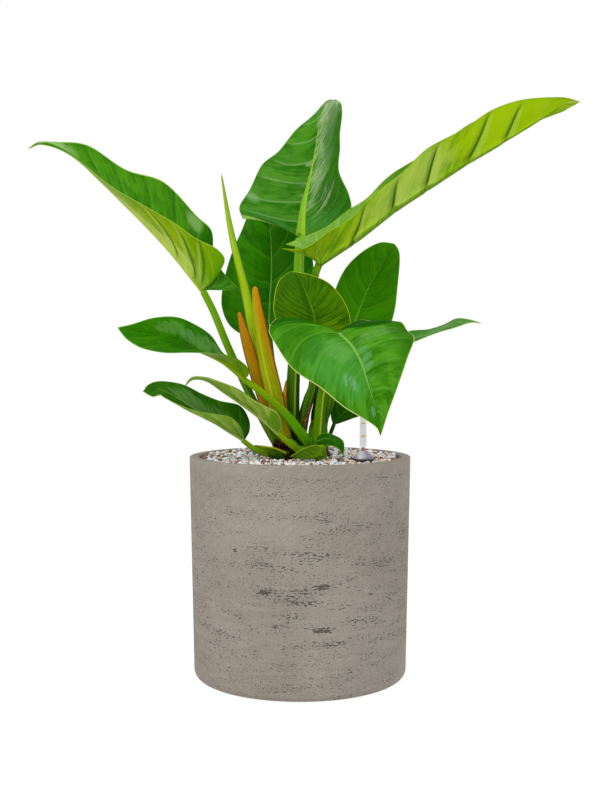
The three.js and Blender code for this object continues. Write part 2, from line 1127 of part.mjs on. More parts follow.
function gaugeDome() {
  const neck = GAUGE_TUBE_RADIUS + CLEAR;
  return lathe(
    [
      [neck, domeFoot],
      [GAUGE_DOME_RADIUS, domeFoot],
      [GAUGE_DOME_RADIUS, domeFoot + 3.4],
      [GAUGE_DOME_RADIUS - 1.2, domeFoot + 6.5],
      [GAUGE_DOME_RADIUS - 4, domeFoot + 10],
      [GAUGE_DOME_RADIUS - 7, domeFoot + 13],
      [neck + 1, GAUGE_DOME_TOP],
      [neck, GAUGE_DOME_TOP],
      [neck, domeFoot],
    ],
    16,
    GAUGE_AT,
  );
}

function gaugeTube() {
  const bore = GAUGE_TUBE_RADIUS - GAUGE_TUBE_WALL;
  return lathe(
    [
      [bore, domeFoot],
      [GAUGE_TUBE_RADIUS, domeFoot],
      [GAUGE_TUBE_RADIUS, GAUGE_TUBE_TOP - 1.5],
      [GAUGE_TUBE_RADIUS - 1.5, GAUGE_TUBE_TOP],
      [0, GAUGE_TUBE_TOP],
      [0, GAUGE_TUBE_TOP - 2],
      [bore, GAUGE_TUBE_TOP - 2],
      [bore, domeFoot],
    ],
    16,
    GAUGE_AT,
  );
}

function gaugeFloat() {
  const bottom = gaugeFoot + 2 + CLEAR;
  return lathe(
    [
      [0, bottom],
      [FLOAT_RADIUS, bottom],
      [FLOAT_RADIUS, bottom + FLOAT_HEIGHT],
      [1.4, bottom + FLOAT_HEIGHT + 4],
      [1.4, FLOAT_TIP - 7],
      [2.4, FLOAT_TIP - 6],
      [2.4, FLOAT_TIP - 1],
      [1.4, FLOAT_TIP],
      [0, FLOAT_TIP],
    ],
    12,
    GAUGE_AT,
  );
}

// The room that the gauge takes in the granules: the casing's, and above it the dome's
function gaugeHole() {
  const [casing, dome] = [GAUGE_CASING_RADIUS + CLEAR, GAUGE_DOME_RADIUS + CLEAR];
  return lathe(
    [
      [0, 0],
      [casing, 0],
      [casing, casingTop - CLEAR],
      [dome, casingTop - CLEAR],
      [dome, POT_HEIGHT + STONE],
      [0, POT_HEIGHT + STONE],
    ],
    16,
    GAUGE_AT,
  );
}

// Assembly: the stems come first, and each stalk and shoot is then cut clear of those before it.
const plant = new THREE.Group();
const claimed = [];

function add(name, solid, colour) {
  const material = new THREE.MeshStandardMaterial({
    color: COLOURS[colour],
    roughness: colour === "clay" || colour === "granules" ? 0.9 : 0.4,
    metalness: 0,
    flatShading: true,
  });
  const mesh = new THREE.Mesh(geometryFrom(largest(solid)), material);
  mesh.name = name;
  plant.add(mesh);
}

function cutClear(solid) {
  return claimed.reduce((left, taken) => left.subtract(taken), solid);
}

for (const { name, route, radii } of STEMS) {
  add(name, stalk(route, radii, { sides: 10 }), "stem");
  claimed.push(stalk(route, radii, { sides: 10, grow: CLEAR }));
}

for (const leaf of LEAVES) {
  const { route, radius, depth } = leaf.stalk;
  const room = blade(leaf, BLADE_THICKNESS + 2 * CLEAR);
  add(`${leaf.name}_stalk`, cutClear(stalk(route, radius, { depth })).subtract(room), "stalk");
  claimed.push(stalk(route, radius, { depth, grow: CLEAR }));
  add(leaf.name, blade(leaf, BLADE_THICKNESS), leaf.name === "leaf_4" ? "olive" : "leaf");
}

for (const { name, route, radii, depth, colour } of SHOOTS) {
  add(name, cutClear(stalk(route, radii, { depth })), colour);
  claimed.push(stalk(route, radii, { depth, grow: CLEAR }));
}

add("gauge_casing", gaugeCasing(), "casing");
add("gauge_dome", gaugeDome(), "clear");
add("gauge_tube", gaugeTube(), "clear");
add("gauge_float", gaugeFloat(), "float");
add("planter", planter(), "clay");

const bareSpots = [
  [...GAUGE_AT, GAUGE_DOME_RADIUS],
  ...STEMS.map(({ route, radii }) => [route[1][0], route[1][1], radii[1]]),
];
add("granules", granules([gaugeHole(), ...claimed], bareSpots), "granules");

export default plant;
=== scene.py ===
# %% [markdown]
# # A potted philodendron, finished in Blender
#
# The solids of this plant are already built and packed: a straight fibre-clay planter, granules,
# stems, fourteen leaves on their stalks, two orange sheaths, a rolled new leaf and a water gauge.
# This lesson gives each of them the surface that the real one has. Blender works in metres, +Z is
# up, and the camera looks along +Y.

# %% Load the frame
import math

import bmesh
import bpy
import numpy as np
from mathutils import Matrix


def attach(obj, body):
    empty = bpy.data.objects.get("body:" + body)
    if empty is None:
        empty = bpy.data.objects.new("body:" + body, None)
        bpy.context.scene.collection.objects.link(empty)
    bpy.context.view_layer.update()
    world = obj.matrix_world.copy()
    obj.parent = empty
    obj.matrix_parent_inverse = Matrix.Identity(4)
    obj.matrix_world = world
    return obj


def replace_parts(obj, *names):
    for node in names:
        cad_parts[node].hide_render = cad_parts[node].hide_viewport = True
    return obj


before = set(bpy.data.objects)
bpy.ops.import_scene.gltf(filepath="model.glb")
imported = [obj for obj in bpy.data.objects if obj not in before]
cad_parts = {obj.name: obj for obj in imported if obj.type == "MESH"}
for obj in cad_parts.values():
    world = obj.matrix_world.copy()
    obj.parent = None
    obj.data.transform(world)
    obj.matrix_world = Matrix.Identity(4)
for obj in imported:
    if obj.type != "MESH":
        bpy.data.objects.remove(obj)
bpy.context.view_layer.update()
MM = 0.001
PLANT, FLOAT = "potted_plant", "float"

# %% [markdown]
# ## The view
#
# The photograph was taken from about a metre and a half away, a little above the rim of the pot,
# with the camera tipped down by two and a half degrees. A lens of 53.5 mm on a 36 mm sensor gives
# the same perspective. The backdrop is white, and the light is a bright studio's: one big soft
# source high in front on the left, weaker ones on the right and above from behind, and white all
# round.

# %% Camera
CAMERA_AWAY = 1.511
CAMERA_HEIGHT = 0.417
CAMERA_TIP = 0.044
LENS = 53.55

camera = bpy.data.objects.new("camera", bpy.data.cameras.new("camera"))
camera.location = (0, -CAMERA_AWAY, CAMERA_HEIGHT)
camera.rotation_euler = (math.pi / 2 - CAMERA_TIP, 0, 0)
camera.data.lens = LENS
bpy.context.collection.objects.link(camera)
bpy.context.scene.camera = camera
bpy.context.scene.view_settings.view_transform = "Standard"
print("camera", tuple(camera.location))


# %% Studio light
def soft_light(name, place, aim, width, power):
    """A square area light at a place, turned towards another."""
    light = bpy.data.objects.new(name, bpy.data.lights.new(name, "AREA"))
    light.data.shape = "SQUARE"
    light.data.size = width
    light.data.energy = power
    light.location = place
    way = light.location - type(light.location)(aim)
    light.rotation_euler = way.to_track_quat("Z", "Y").to_euler()
    bpy.context.collection.objects.link(light)


MIDDLE = (0, 0, 0.42)
soft_light("key_light", (-1.1, -1.5, 1.7), MIDDLE, 1.3, 22)
soft_light("fill_light", (1.6, -1.3, 0.9), MIDDLE, 1.4, 5)
soft_light("top_light", (0.1, 0.5, 1.9), MIDDLE, 1.2, 6)

SKY_STRENGTH = 1.0
sky = bpy.data.worlds.new("studio")
bpy.context.scene.world = sky
sky.use_nodes = True
backdrop = sky.node_tree.nodes["Background"].inputs
backdrop["Color"].default_value = (1, 1, 1, 1)
backdrop["Strength"].default_value = SKY_STRENGTH


# %% [markdown]
# ## Shader maths as plain expressions
#
# A material is a network of nodes, and long sums of nodes are hard to read. The small class below
# wraps one output socket, so that `1 - mask * 2` adds the Math nodes by itself. Everything that
# isn't plain arithmetic goes through one method, `node`, which takes a node's type, its settings
# and what its sockets hold. A colour of three numbers is meant as a screen shows it, and one of
# four numbers as the linear light that Blender mixes.


# %% A socket that can be added and multiplied
class Wire:
    """One output socket of a material, with the arithmetic that the finishes use."""

    def __init__(self, finish, socket):
        self.finish = finish
        self.socket = socket

    def __add__(self, other):
        return self.finish.math("ADD", self, other)

    def __radd__(self, other):
        return self.finish.math("ADD", other, self)

    def __sub__(self, other):
        return self.finish.math("SUBTRACT", self, other)

    def __rsub__(self, other):
        return self.finish.math("SUBTRACT", other, self)

    def __mul__(self, other):
        return self.finish.math("MULTIPLY", self, other)

    def __rmul__(self, other):
        return self.finish.math("MULTIPLY", other, self)

    def __truediv__(self, other):
        return self.finish.math("DIVIDE", self, other)

    def __pow__(self, other):
        return self.finish.math("POWER", self, other)

    def __abs__(self):
        return self.finish.math("ABSOLUTE", self)


print("a Wire has", len([name for name in vars(Wire) if name.startswith("__r")]), "reflected operators")


# %% A material under construction
def srgb(red, green, blue):
    """A colour as a screen shows it, 0 to 255, as the linear light that Blender mixes."""
    shares = [channel / 255 for channel in (red, green, blue)]
    return tuple(s / 12.92 if s < 0.04045 else ((s + 0.055) / 1.055) ** 2.4 for s in shares) + (1,)


class Finish:
    """A material under construction. Sockets not given to it keep their plain values."""

    def __init__(self, name, roughness=0.5, specular=0.5, sheen=(1, 1, 1, 1)):
        self.material = bpy.data.materials.new(name)
        self.material.use_nodes = True
        self.tree = self.material.node_tree
        self.skin = self.tree.nodes["Principled BSDF"]
        self.set("Roughness", roughness)
        self.set("Specular IOR Level", specular)
        self.set("Specular Tint", sheen)

    def put(self, socket, value):
        if isinstance(value, Wire):
            self.tree.links.new(value.socket, socket)
        elif isinstance(value, tuple) and len(value) == 3:
            socket.default_value = srgb(*value)
        else:
            socket.default_value = value

    def set(self, name, value):
        self.put(self.skin.inputs[name], value)
        return self

    def node(self, kind, settings=None, sockets=None, output=0):
        made = self.tree.nodes.new(kind)
        for key, value in (settings or {}).items():
            setattr(made, key, value)
        for key, value in (sockets or {}).items():
            self.put(made.inputs[key], value)
        return Wire(self, made.outputs[output])

    def math(self, operation, *values):
        return self.node("ShaderNodeMath", {"operation": operation}, dict(enumerate(values)))

    def ramp(self, value, low, high):
        """0 below low, 1 above high, and smooth between; low may be the larger one."""
        sockets = {"Value": value, "From Min": low, "From Max": high}
        return self.node("ShaderNodeMapRange", {"interpolation_type": "SMOOTHSTEP"}, sockets)

    def mix(self, share, first, second):
        """A colour between two colours; sockets 6 and 7 are the node's colour inputs."""
        return self.node("ShaderNodeMix", {"data_type": "RGBA"}, {0: share, 6: first, 7: second}, 2)

    def attribute(self, name):
        return self.node("ShaderNodeAttribute", {"attribute_name": name}, output="Vector")

    def number(self, name):
        return self.node("ShaderNodeAttribute", {"attribute_name": name}, output="Fac")

    def split(self, vector):
        made = self.node("ShaderNodeSeparateXYZ", None, {0: vector}).socket.node
        return [Wire(self, out) for out in made.outputs]

    def join(self, x, y, z):
        return self.node("ShaderNodeCombineXYZ", None, {0: x, 1: y, 2: z})

    def place(self):
        return self.node("ShaderNodeTexCoord", output="Object")

    def noise(self, vector, scale, detail=3.0, roughness=0.5):
        sockets = {"Vector": vector, "Scale": scale, "Detail": detail, "Roughness": roughness}
        return self.node("ShaderNodeTexNoise", None, sockets)

    def relief(self, height, depth):
        """Bumps of a height pattern, with its full depth in metres."""
        bump = self.node("ShaderNodeBump", None, {"Height": height, "Distance": depth})
        return self.set("Normal", bump)


print("shader helpers ready")

# %% [markdown]
# ## Floor
#
# The floor is part of the stage and not of the plant: a wide pale sheet that glows as a light table
# does, so it meets the white background and shows only a breath of shadow at the foot of the pot.

# %% Floor
FLOOR_HALF, FLOOR_GLOW = 6.0, 0.93
floor_mesh = bpy.data.meshes.new("floor")
corners = [(-1, -1, 0), (1, -1, 0), (1, 1, 0), (-1, 1, 0)]
floor_mesh.from_pydata([(x * FLOOR_HALF, y * FLOOR_HALF, z) for x, y, z in corners], [], [(0, 1, 2, 3)])
floor = bpy.data.objects.new("floor", floor_mesh)
bpy.context.collection.objects.link(floor)
paper = Finish("floor_white", roughness=1.0, specular=0.0)
paper.set("Base Color", (0.08, 0.08, 0.08, 1))
paper.set("Emission Color", (255, 255, 255)).set("Emission Strength", FLOOR_GLOW)
floor_mesh.materials.append(paper.material)
print("floor", FLOOR_HALF * 2, "m wide")

# %% [markdown]
# ## Smooth curves and meshes
#
# Stalks and leaf margins are drawn through a few points each. A Catmull-Rom curve passes through
# every one of them, and here it is worked out for many places at once, because each blade asks for
# thousands. The points are the ones that the solids were built from, in millimetres.


# %% Curves
def curve(points):
    """A smooth curve through points in millimetres, as a function of a share from 0 to 1."""
    knots = np.array(points, float)
    knots = np.vstack([2 * knots[0] - knots[1], knots, 2 * knots[-1] - knots[-2]])
    last = len(points) - 2

    def at(share):
        place = np.clip(np.asarray(share, float), 0, 1) * (last + 1)
        first = np.minimum(place.astype(int), last)
        t = (place - first)[..., None]
        before, start, end, after = (knots[first + i] for i in range(4))
        leave, arrive = (end - before) / 2, (after - start) / 2
        bend = 3 * (end - start) - 2 * leave - arrive
        return start + leave * t + bend * t**2 + (2 * (start - end) + leave + arrive) * t**3

    return at


def unit(vectors):
    return vectors / np.maximum(np.linalg.norm(vectors, axis=-1, keepdims=True), 1e-9)


def ease(value, low, high):
    """0 below low, 1 above high, and smooth between; low may be the larger one."""
    t = np.clip((value - low) / (high - low), 0, 1)
    return t * t * (3 - 2 * t)


print("halfway between two points:", curve([(0, 0, 0), (10, 0, 4)])(0.5))


# %% Mesh objects
def make_piece(name, points, faces, finishes, body=PLANT, slots=None, notes=None, smooth=True):
    """A mesh object from points in millimetres. Notes are values stored for the materials."""
    mesh = bpy.data.meshes.new(name)
    mesh.from_pydata((np.asarray(points) * MM).tolist(), [], faces)
    for finish in finishes:
        mesh.materials.append(finish)
    if slots is not None:
        mesh.polygons.foreach_set("material_index", slots)
    for note, values in (notes or {}).items():
        values = np.asarray(values, float)
        if values.ndim == 2:
            mesh.attributes.new(note, "FLOAT_VECTOR", "POINT").data.foreach_set("vector", values.ravel())
        else:
            mesh.attributes.new(note, "FLOAT", "POINT").data.foreach_set("value", values)
    mesh.polygons.foreach_set("use_smooth", [smooth] * len(mesh.polygons))
    mesh.update()
    piece = bpy.data.objects.new(name, mesh)
    bpy.context.collection.objects.link(piece)
    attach(piece, body)
    return piece


def grid_faces(rows, columns, first=0, closed=False):
    """Quads of a grid whose points are stored row by row; closed joins the last column to the first."""
    faces = []
    for row in range(rows - 1):
        for column in range(columns if closed else columns - 1):
            a = first + row * columns + column
            b = first + row * columns + (column + 1) % columns
            faces.append((a, b, b + columns, a + columns))
    return faces


def lathe(name, profile, sides, finish, centre=(0, 0), body=PLANT):
    """A turned piece. The profile is in millimetres, closed on itself or from axis to axis."""
    closed = profile[0] == profile[-1]
    ring = np.array(profile[:-1] if closed else profile, float)
    turn = np.linspace(0, 2 * math.pi, sides, endpoint=False)
    cosine, sine = np.cos(turn), np.sin(turn)
    radius, height = ring[:, :1], ring[:, 1:]
    x, y = radius * cosine + centre[0], radius * sine + centre[1]
    points = np.stack([x, y, height + 0 * cosine], -1).reshape(-1, 3)
    faces = grid_faces(len(ring), sides, closed=True)
    if closed:
        last = (len(ring) - 1) * sides
        for i in range(sides):
            j = (i + 1) % sides
            faces.append((last + i, last + j, j, i))
    return make_piece(name, points, faces, [finish], body)


print("mesh helpers ready")

# %% [markdown]
# ## The leaves: where they are
#
# Each leaf of this plant is a heart drawn out to a point, and each is held at its own angle, so
# every one has a midrib and two margins of its own. The midrib runs from the joint, where the stalk
# meets the blade, to the tip. The margins run from the point where the lobes part, and end at the
# tip too. These are the numbers that shaped the solids, in millimetres.
#
# The other values come in pairs for the left and the right half. Fan is the share of the rows that
# start at the joint, up is the way that the blade faces at its foot and at its tip, and wave is the
# margin's ripple: its height, its count and where it starts on each side. Pairs counts the side
# veins, and slant and bow say how they lean. The stalk has a route and a radius of its own. What a
# leaf leaves out is as in the plain leaf after the table.

# %% Leaf outlines
LEAVES = {
    "leaf_1": dict(
        midrib=[(-122, -25, 489), (-153, -29, 528), (-183, -34, 561), (-220, -41, 598), (-250, -47, 627),
            (-277, -51, 652), (-307, -55, 665), (-330, -56, 658)],
        left=[(-118, -29, 491), (-103, -42, 506), (-92, -54, 524), (-100, -60, 535), (-122, -66, 547),
            (-147, -70, 565), (-180, -74, 581), (-218, -73, 606), (-255, -68, 633), (-288, -61, 654),
            (-313, -57, 663)],
        right=[(-76, 20, 490), (-95, 18, 510), (-110, 6, 534), (-112, -1, 565), (-132, -5, 585),
            (-171, -13, 623), (-215, -24, 638), (-258, -38, 663), (-292, -50, 667), (-315, -55, 667)],
        fan=0.24, up=[(0.5, -0.3, 0.8), (0.2, -0.3, 0.9)], bulge=(-0.08, -0.1), wave=(2, 4, 0.5, 2),
        pairs=(9, 12), slant=(0.25, 0.05), swell=1, rows=260,
        creases=[(-1, 0.25, 0.365, 0.1, 0.97, 0.007), (-1, 0.28, 0.47, 0.06, 0.9, 0.008),
            (-1, 0.37, 0.57, 0.08, 0.95, 0.007)],
        stalk=[(-28, 4, 291), (-44, 6, 319), (-63, 5, 356), (-77, 2, 386), (-92, -4, 420),
            (-108, -16, 461), (-120, -24, 486)],
        radius=(5.6, 4.3),
    ),
    "leaf_2": dict(
        midrib=[(0, 25, 559), (4, 33, 599), (12, 41, 634), (20, 49, 674), (26, 59, 714), (36, 76, 740),
            (45, 93, 747)],
        left=[(-73, 13, 581), (-77, 18, 597), (-64, 26, 620), (-48, 38, 654), (-26, 46, 673),
            (-3, 55, 703), (22, 70, 727), (36, 86, 744)],
        right=[(28, 12, 554), (53, 3, 566), (65, 6, 591), (62, 14, 612), (50, 26, 642), (52, 36, 672),
            (51, 44, 693), (55, 56, 719), (54, 72, 738), (49, 88, 746)],
        fan=0.12, up=[(0, -1, 0.2), (-0.1, -0.8, 0.6)], bulge=(0.06, -0.08), wave=(2, 4, 0.3, 2.2),
        curl=(0.07, 0), pairs=(9, 13), slant=(-0.13, 0.22), swell=1.2, rows=200,
        stalk=[(-11, 8, 296), (-10, 8, 331), (-8.5, 10, 376), (-5, 15, 440), (-2, 21, 510), (0, 25, 557)],
        radius=(10.2, 5.8),
    ),
    "leaf_3": dict(
        midrib=[(25, -30, 523), (70, -37, 552), (114, -44, 585), (155, -52, 611), (198, -60, 638),
            (244, -67, 664), (287, -74, 690), (313, -77, 706), (334, -78, 710)],
        left=[(-18, -14, 546), (5, -8, 556), (35, -8, 570), (63, -10, 590), (84, -18, 605),
            (114, -26, 631), (160, -32, 660), (218, -40, 695), (267, -52, 703), (306, -68, 697),
            (323, -75, 704)],
        right=[(-22, -46, 538), (5, -46, 539), (33, -46, 557), (61, -50, 574), (82, -54, 596),
            (119, -60, 625), (150, -68, 654), (191, -78, 675), (226, -84, 698), (265, -88, 710),
            (309, -84, 714)],
        fan=0.18, up=[(-0.6, 0, 0.8), (-0.5, 0, 0.85)], bulge=(-0.05, -0.06), wave=(1.5, 5, 0, 1.5),
        curl=(0.1, 0.03), pairs=(11, 11), slant=(0.05, 0.08), swell=1, rows=260,
        creases=[(1, 0.3, 0.355, 0.05, 0.9, 0.005), (1, 0.425, 0.455, 0.05, 0.85, 0.006),
            (1, 0.524, 0.585, 0.05, 0.95, 0.006), (1, 0.635, 0.727, 0.05, 0.95, 0.006),
            (1, 0.728, 0.82, 0.05, 0.8, 0.004)],
        stalk=[(1, 16, 298), (5.5, 14, 331), (11.5, 11, 352), (17, 7, 374), (18, -8, 439), (18, -26, 500),
            (24, -30, 521)],
        radius=(6.4, 7, 6.8, 5.6, 5, 4.8, 4.6),
    ),
    "leaf_4": dict(
        midrib=[(20, -57, 442), (15, -54, 464), (7, -48, 485), (0, -41, 501), (-12, -34, 511)],
        left=[(16, -56, 438), (-2, -50, 431), (-21, -46, 439), (-31, -45, 456), (-32, -44, 475),
            (-26, -39, 499)],
        right=[(23, -56, 438), (42, -50, 430), (60, -46, 437), (61, -45, 457), (52, -45, 477),
            (36, -42, 496), (15, -38, 506), (-2, -35, 510)],
        fan=0.26, up=[(0, -1, 0.3), (0, -1, 0.5)], bulge=(0.04, 0.04), pairs=(17, 17), slant=(0.36, 0.12),
        swell=0.2, bow=0.1,
        stalk=[(0, -1, 296), (4, -6, 320), (6, -11, 335), (11, -22, 356), (17, -37, 380), (19, -50, 404),
            (20, -57, 438)],
        radius=(4, 2.8),
    ),
    "leaf_5": dict(
        midrib=[(46, -96, 434), (61, -110, 419), (71, -124, 400), (77, -136, 380), (83, -145, 360),
            (88, -152, 341), (92, -158, 316)],
        left=[(57, -84, 444), (73, -77, 450), (90, -76, 448), (106, -80, 443), (120, -86, 447),
            (128, -94, 437), (135, -104, 428), (126, -120, 406), (114, -136, 375), (101, -149, 342)],
        right=[(26, -84, 438), (0, -76, 445), (-25, -74, 453), (-37, -82, 439), (-29, -94, 421),
            (-8, -112, 392), (23, -128, 371), (50, -140, 349), (72, -149, 336), (87, -155, 326)],
        fan=0.35, up=[(0, -0.7, 0.7), (0, -0.95, 0.3)], bulge=(0.08, 0.08), wave=(1, 3, 0.4, 1.4),
        pairs=(9, 11), slant=(0.05, 0.12), swell=1.1,
        stalk=[(22, -2, 291), (24, -16, 322), (28, -42, 362), (38, -74, 408), (45, -95, 430)],
        radius=(8, 4),
    ),
    "leaf_6": dict(
        midrib=[(68, 43, 443), (78, 49, 467), (89, 55, 493), (103, 60, 516), (115, 64, 536),
            (124, 66, 554)],
        left=[(64, 42, 440), (50, 42, 445), (40, 44, 469), (47, 48, 495), (60, 53, 521), (81, 59, 542),
            (105, 64, 555)],
        right=[(72, 42, 440), (94, 42, 431), (113, 43, 439), (123, 47, 463), (128, 54, 499),
            (131, 60, 529), (130, 64, 545)],
        fan=0.24, up=[(0, -1, 0.3), (0, -1, 0.4)], bulge=(0.06, 0.06), pairs=(7, 7), swell=0.4,
        stalk=[(28, 11, 268), (29, 12, 292), (33, 19, 324), (42, 27, 360), (54, 37, 408), (67, 43, 440)],
        radius=(4.5, 2.8),
    ),
    "leaf_7": dict(
        midrib=[(116, 19, 414), (144, 22, 427), (172, 28, 437), (197, 35, 447), (219, 40, 450),
            (236, 43, 449)],
        left=[(116, 22, 419), (127, 32, 432), (144, 40, 439), (168, 49, 441), (188, 54, 447),
            (205, 54, 455), (220, 49, 454)],
        right=[(117, 17, 411), (130, 9, 416), (150, 5, 426), (176, 10, 436), (201, 22, 443),
            (220, 34, 449)],
        fan=0.1, up=[(-0.3, -0.1, 0.95), (-0.1, -0.1, 1)], bulge=(-0.06, 0.04),
        stalk=[(32, 3, 268), (33, 5, 292), (32, 8, 325), (41, 12, 352), (72, 16, 386), (115, 19, 413)],
        radius=(4, 2.6),
    ),
    "leaf_8": dict(
        midrib=[(-41, 66, 448), (-40, 75, 480), (-38, 84, 518), (-39, 92, 561), (-43, 99, 609),
            (-48, 103, 653)],
        left=[(-57, 62, 434), (-75, 62, 434), (-94, 65, 448), (-104, 73, 474), (-101, 82, 507),
            (-91, 90, 544), (-77, 96, 577), (-62, 101, 618)],
        right=[(-22, 62, 436), (-1, 64, 444), (12, 70, 471), (17, 78, 507), (17, 84, 534), (8, 92, 574),
            (-9, 99, 615), (-30, 103, 640)],
        fan=0.2, up=[(0, -1, 0.2), (0, -1, 0.1)], bulge=(0.06, 0.06), wave=(0, 2, 0.6, 1.8),
        stalk=[(-20, 20, 294), (-26, 32, 330), (-36, 49, 388), (-42, 64, 444)],
        radius=(6, 4.2),
    ),
    "leaf_9": dict(
        midrib=[(-71, -35, 379), (-95, -42, 399), (-121, -51, 412), (-144, -60, 423), (-166, -68, 431),
            (-193, -77, 436), (-218, -85, 441)],
        left=[(-69, -38, 378), (-63, -46, 385), (-68, -56, 397), (-87, -66, 407), (-112, -76, 411),
            (-138, -84, 411), (-162, -91, 411), (-187, -93, 416), (-204, -91, 425), (-213, -88, 434)],
        right=[(-68, -33, 382), (-66, -24, 392), (-80, -18, 404), (-96, -20, 410), (-110, -28, 431),
            (-127, -40, 444), (-150, -54, 454), (-177, -66, 453), (-202, -78, 445)],
        fan=0.14, up=[(0.5, -0.2, 0.8), (0.1, -0.5, 0.85)], bulge=(0.02, 0.06), wave=(0, 2, 0.4, 1.2),
        stalk=[(13, -8, 292), (0, -19, 311), (-19, -27, 335), (-47, -33, 361), (-69, -35, 377)],
        radius=(7.6, 3.6),
    ),
    "leaf_10": dict(
        midrib=[(-70, -60, 304), (-89, -67, 317), (-108, -75, 330), (-126, -84, 343), (-146, -93, 357),
            (-166, -99, 368), (-186, -103, 365)],
        left=[(-68, -63, 303), (-71, -74, 319), (-83, -84, 333), (-104, -92, 338), (-125, -99, 342),
            (-144, -105, 350), (-160, -108, 358), (-166, -108, 362), (-174, -107, 359)],
        right=[(-67, -57, 305), (-62, -49, 316), (-64, -45, 331), (-75, -48, 346), (-98, -58, 352),
            (-119, -68, 361), (-142, -80, 373), (-167, -93, 377), (-180, -100, 373)],
        fan=0.18, up=[(0.4, -0.2, 0.85), (0.1, -0.4, 0.9)], bulge=(-0.06, 0.06), wave=(0, 2, 0.4, 1.2),
        stalk=[(-8, -12, 266), (-14, -16, 283), (-36, -29, 284), (-54, -49, 291), (-69, -60, 303)],
        radius=(5, 3),
    ),
    "leaf_11": dict(
        midrib=[(-27, -46, 311), (-47, -50, 329), (-69, -54, 346), (-92, -58, 362), (-113, -62, 376),
            (-130, -66, 378), (-141, -68, 369)],
        left=[(-26, -49, 312), (-23, -53, 324), (-29, -57, 338), (-50, -60, 349), (-72, -65, 363),
            (-92, -68, 374), (-114, -69, 380), (-131, -69, 381)],
        right=[(-25, -43, 312), (-24, -37, 322), (-31, -32, 336), (-55, -37, 351), (-76, -45, 366),
            (-97, -52, 375), (-115, -59, 381), (-132, -64, 381)],
        fan=0.2, up=[(0.6, 0, 0.8), (0.4, 0, 0.9)], bulge=(-0.1, -0.1),
        stalk=[(10, -16, 266), (8, -22, 285), (-4, -32, 291), (-15, -40, 300), (-26, -46, 310)],
        radius=(6.4, 3),
    ),
    "leaf_12": dict(
        midrib=[(44, 25, 318), (57, 28, 332), (72, 36, 349), (88, 46, 367), (105, 56, 385)],
        left=[(42, 25, 320), (40, 26, 332), (44, 30, 349), (57, 38, 366), (79, 48, 380)],
        right=[(74, 30, 327), (91, 38, 337), (105, 48, 356)],
        fan=0.2, up=[(0, -1, 0.3), (0, -0.9, 0.5)], bulge=(0.04, 0.04),
        stalk=[(32, 19, 266), (34, 22, 289), (38, 24, 302), (44, 25, 318)],
        radius=(3.4, 2.4),
    ),
    "leaf_13": dict(
        midrib=[(25, -48, 287), (14, -55, 284), (1, -64, 283), (-12, -72, 285)],
        left=[(27, -49, 291), (20, -58, 298), (5, -70, 295), (-6, -74, 289)],
        right=[(23, -46, 288), (14, -45, 291), (5, -51, 291), (-5, -62, 288)],
        fan=0.2, up=[(0.1, 0.3, 0.95), (0.1, 0.3, 0.95)], bulge=(-0.1, -0.1),
        stalk=[(27, -37, 266), (26, -40, 280), (25, -43, 294)],
        radius=(8, 7), depth=0.6,
    ),
    "leaf_14": dict(
        midrib=[(22, -32, 300), (31, -40, 304), (42, -48, 303), (50, -53, 296), (53, -56, 284)],
        left=[(22, -29, 302), (24, -27, 307), (32, -32, 311), (46, -41, 307), (54, -50, 300)],
        right=[(23, -34, 299), (31, -46, 297), (40, -55, 296), (47, -59, 293)],
        fan=0.2, up=[(-0.3, -0.3, 0.9), (0.8, -0.4, 0.4)], bulge=(0.06, 0.06),
        stalk=[(26, -6, 286), (25, -18, 295), (22, -30, 299)],
        radius=(3, 2),
    ),
}
PLAIN_LEAF = dict(
    pairs=(8, 8), slant=(0.1, 0.1), bow=0, swell=0.6, wave=(0, 2, 0, 1), curl=(0, 0), creases=(), rows=130,
    depth=1,
)
LEAVES = {name: {**PLAIN_LEAF, **leaf} for name, leaf in LEAVES.items()}
for leaf in LEAVES.values():
    tip = leaf["midrib"][-1]
    leaf["left"] = [*leaf["left"], tip]
    leaf["right"] = [*leaf["right"], tip]
print(len(LEAVES), "leaves")

# %% Shoots and stems
SHOOTS = {
    "sheath_1": dict(
        route=[(-14, -5, 288), (-18, -9, 306), (-25, -10, 331), (-35, -12, 370), (-46, -11, 420),
            (-53, -10, 464), (-57, -9, 494)],
        radii=(5, 7.6, 10.2, 10.6, 9.6, 6.6, 3.4), depth=0.7,
    ),
    "sheath_2": dict(
        route=[(-34, -2, 318), (-43, -3, 344), (-55, -5, 382), (-68, -7, 427), (-77, -8, 462)],
        radii=(6, 7.8, 8.2, 6.6, 2.4), depth=0.6,
    ),
    "new_leaf": dict(
        route=[(-30, 12, 304), (-42, 12, 357), (-56, 12, 420), (-67, 12, 477), (-79, 12, 526),
            (-90, 12, 576), (-100, 12, 638)],
        radii=(5, 6.4, 7, 6.4, 5, 3.4, 0.9), depth=0.9,
    ),
    "basal_scale": dict(
        route=[(-18, -34, 281), (-32, -36, 287), (-46, -37, 291), (-57, -38, 295)],
        radii=(6, 6, 4.5, 1.6), depth=0.45,
    ),
}
STEMS = {
    "main_stem": dict(
        route=[(-20, 2, 216), (-21, 2, 262), (-21, 1, 286), (-19, 0, 299)],
        radii=(12, 15, 14, 8),
    ),
    "side_stem": dict(
        route=[(26, 4, 226), (27, 4, 264), (27, 3, 282), (27, 3, 290)],
        radii=(9, 12, 11, 7),
    ),
}
print(len(SHOOTS), "shoots,", len(STEMS), "stems")

# %% [markdown]
# ## The leaves: their surface
#
# A blade is woven from its side veins. Each row of the grid starts on the midrib, and the first
# rows all start at the joint, because the veins of the two lobes do. The lamina swells a little
# between two veins, as a quilt does between its seams, and the midrib stands out underneath. The
# mesh also stores where every point lies on the leaf. The finishes read that, so the painted veins
# follow the modelled ones exactly. Two leaves are sharply creased along some of their veins, where
# they were folded in the bud.

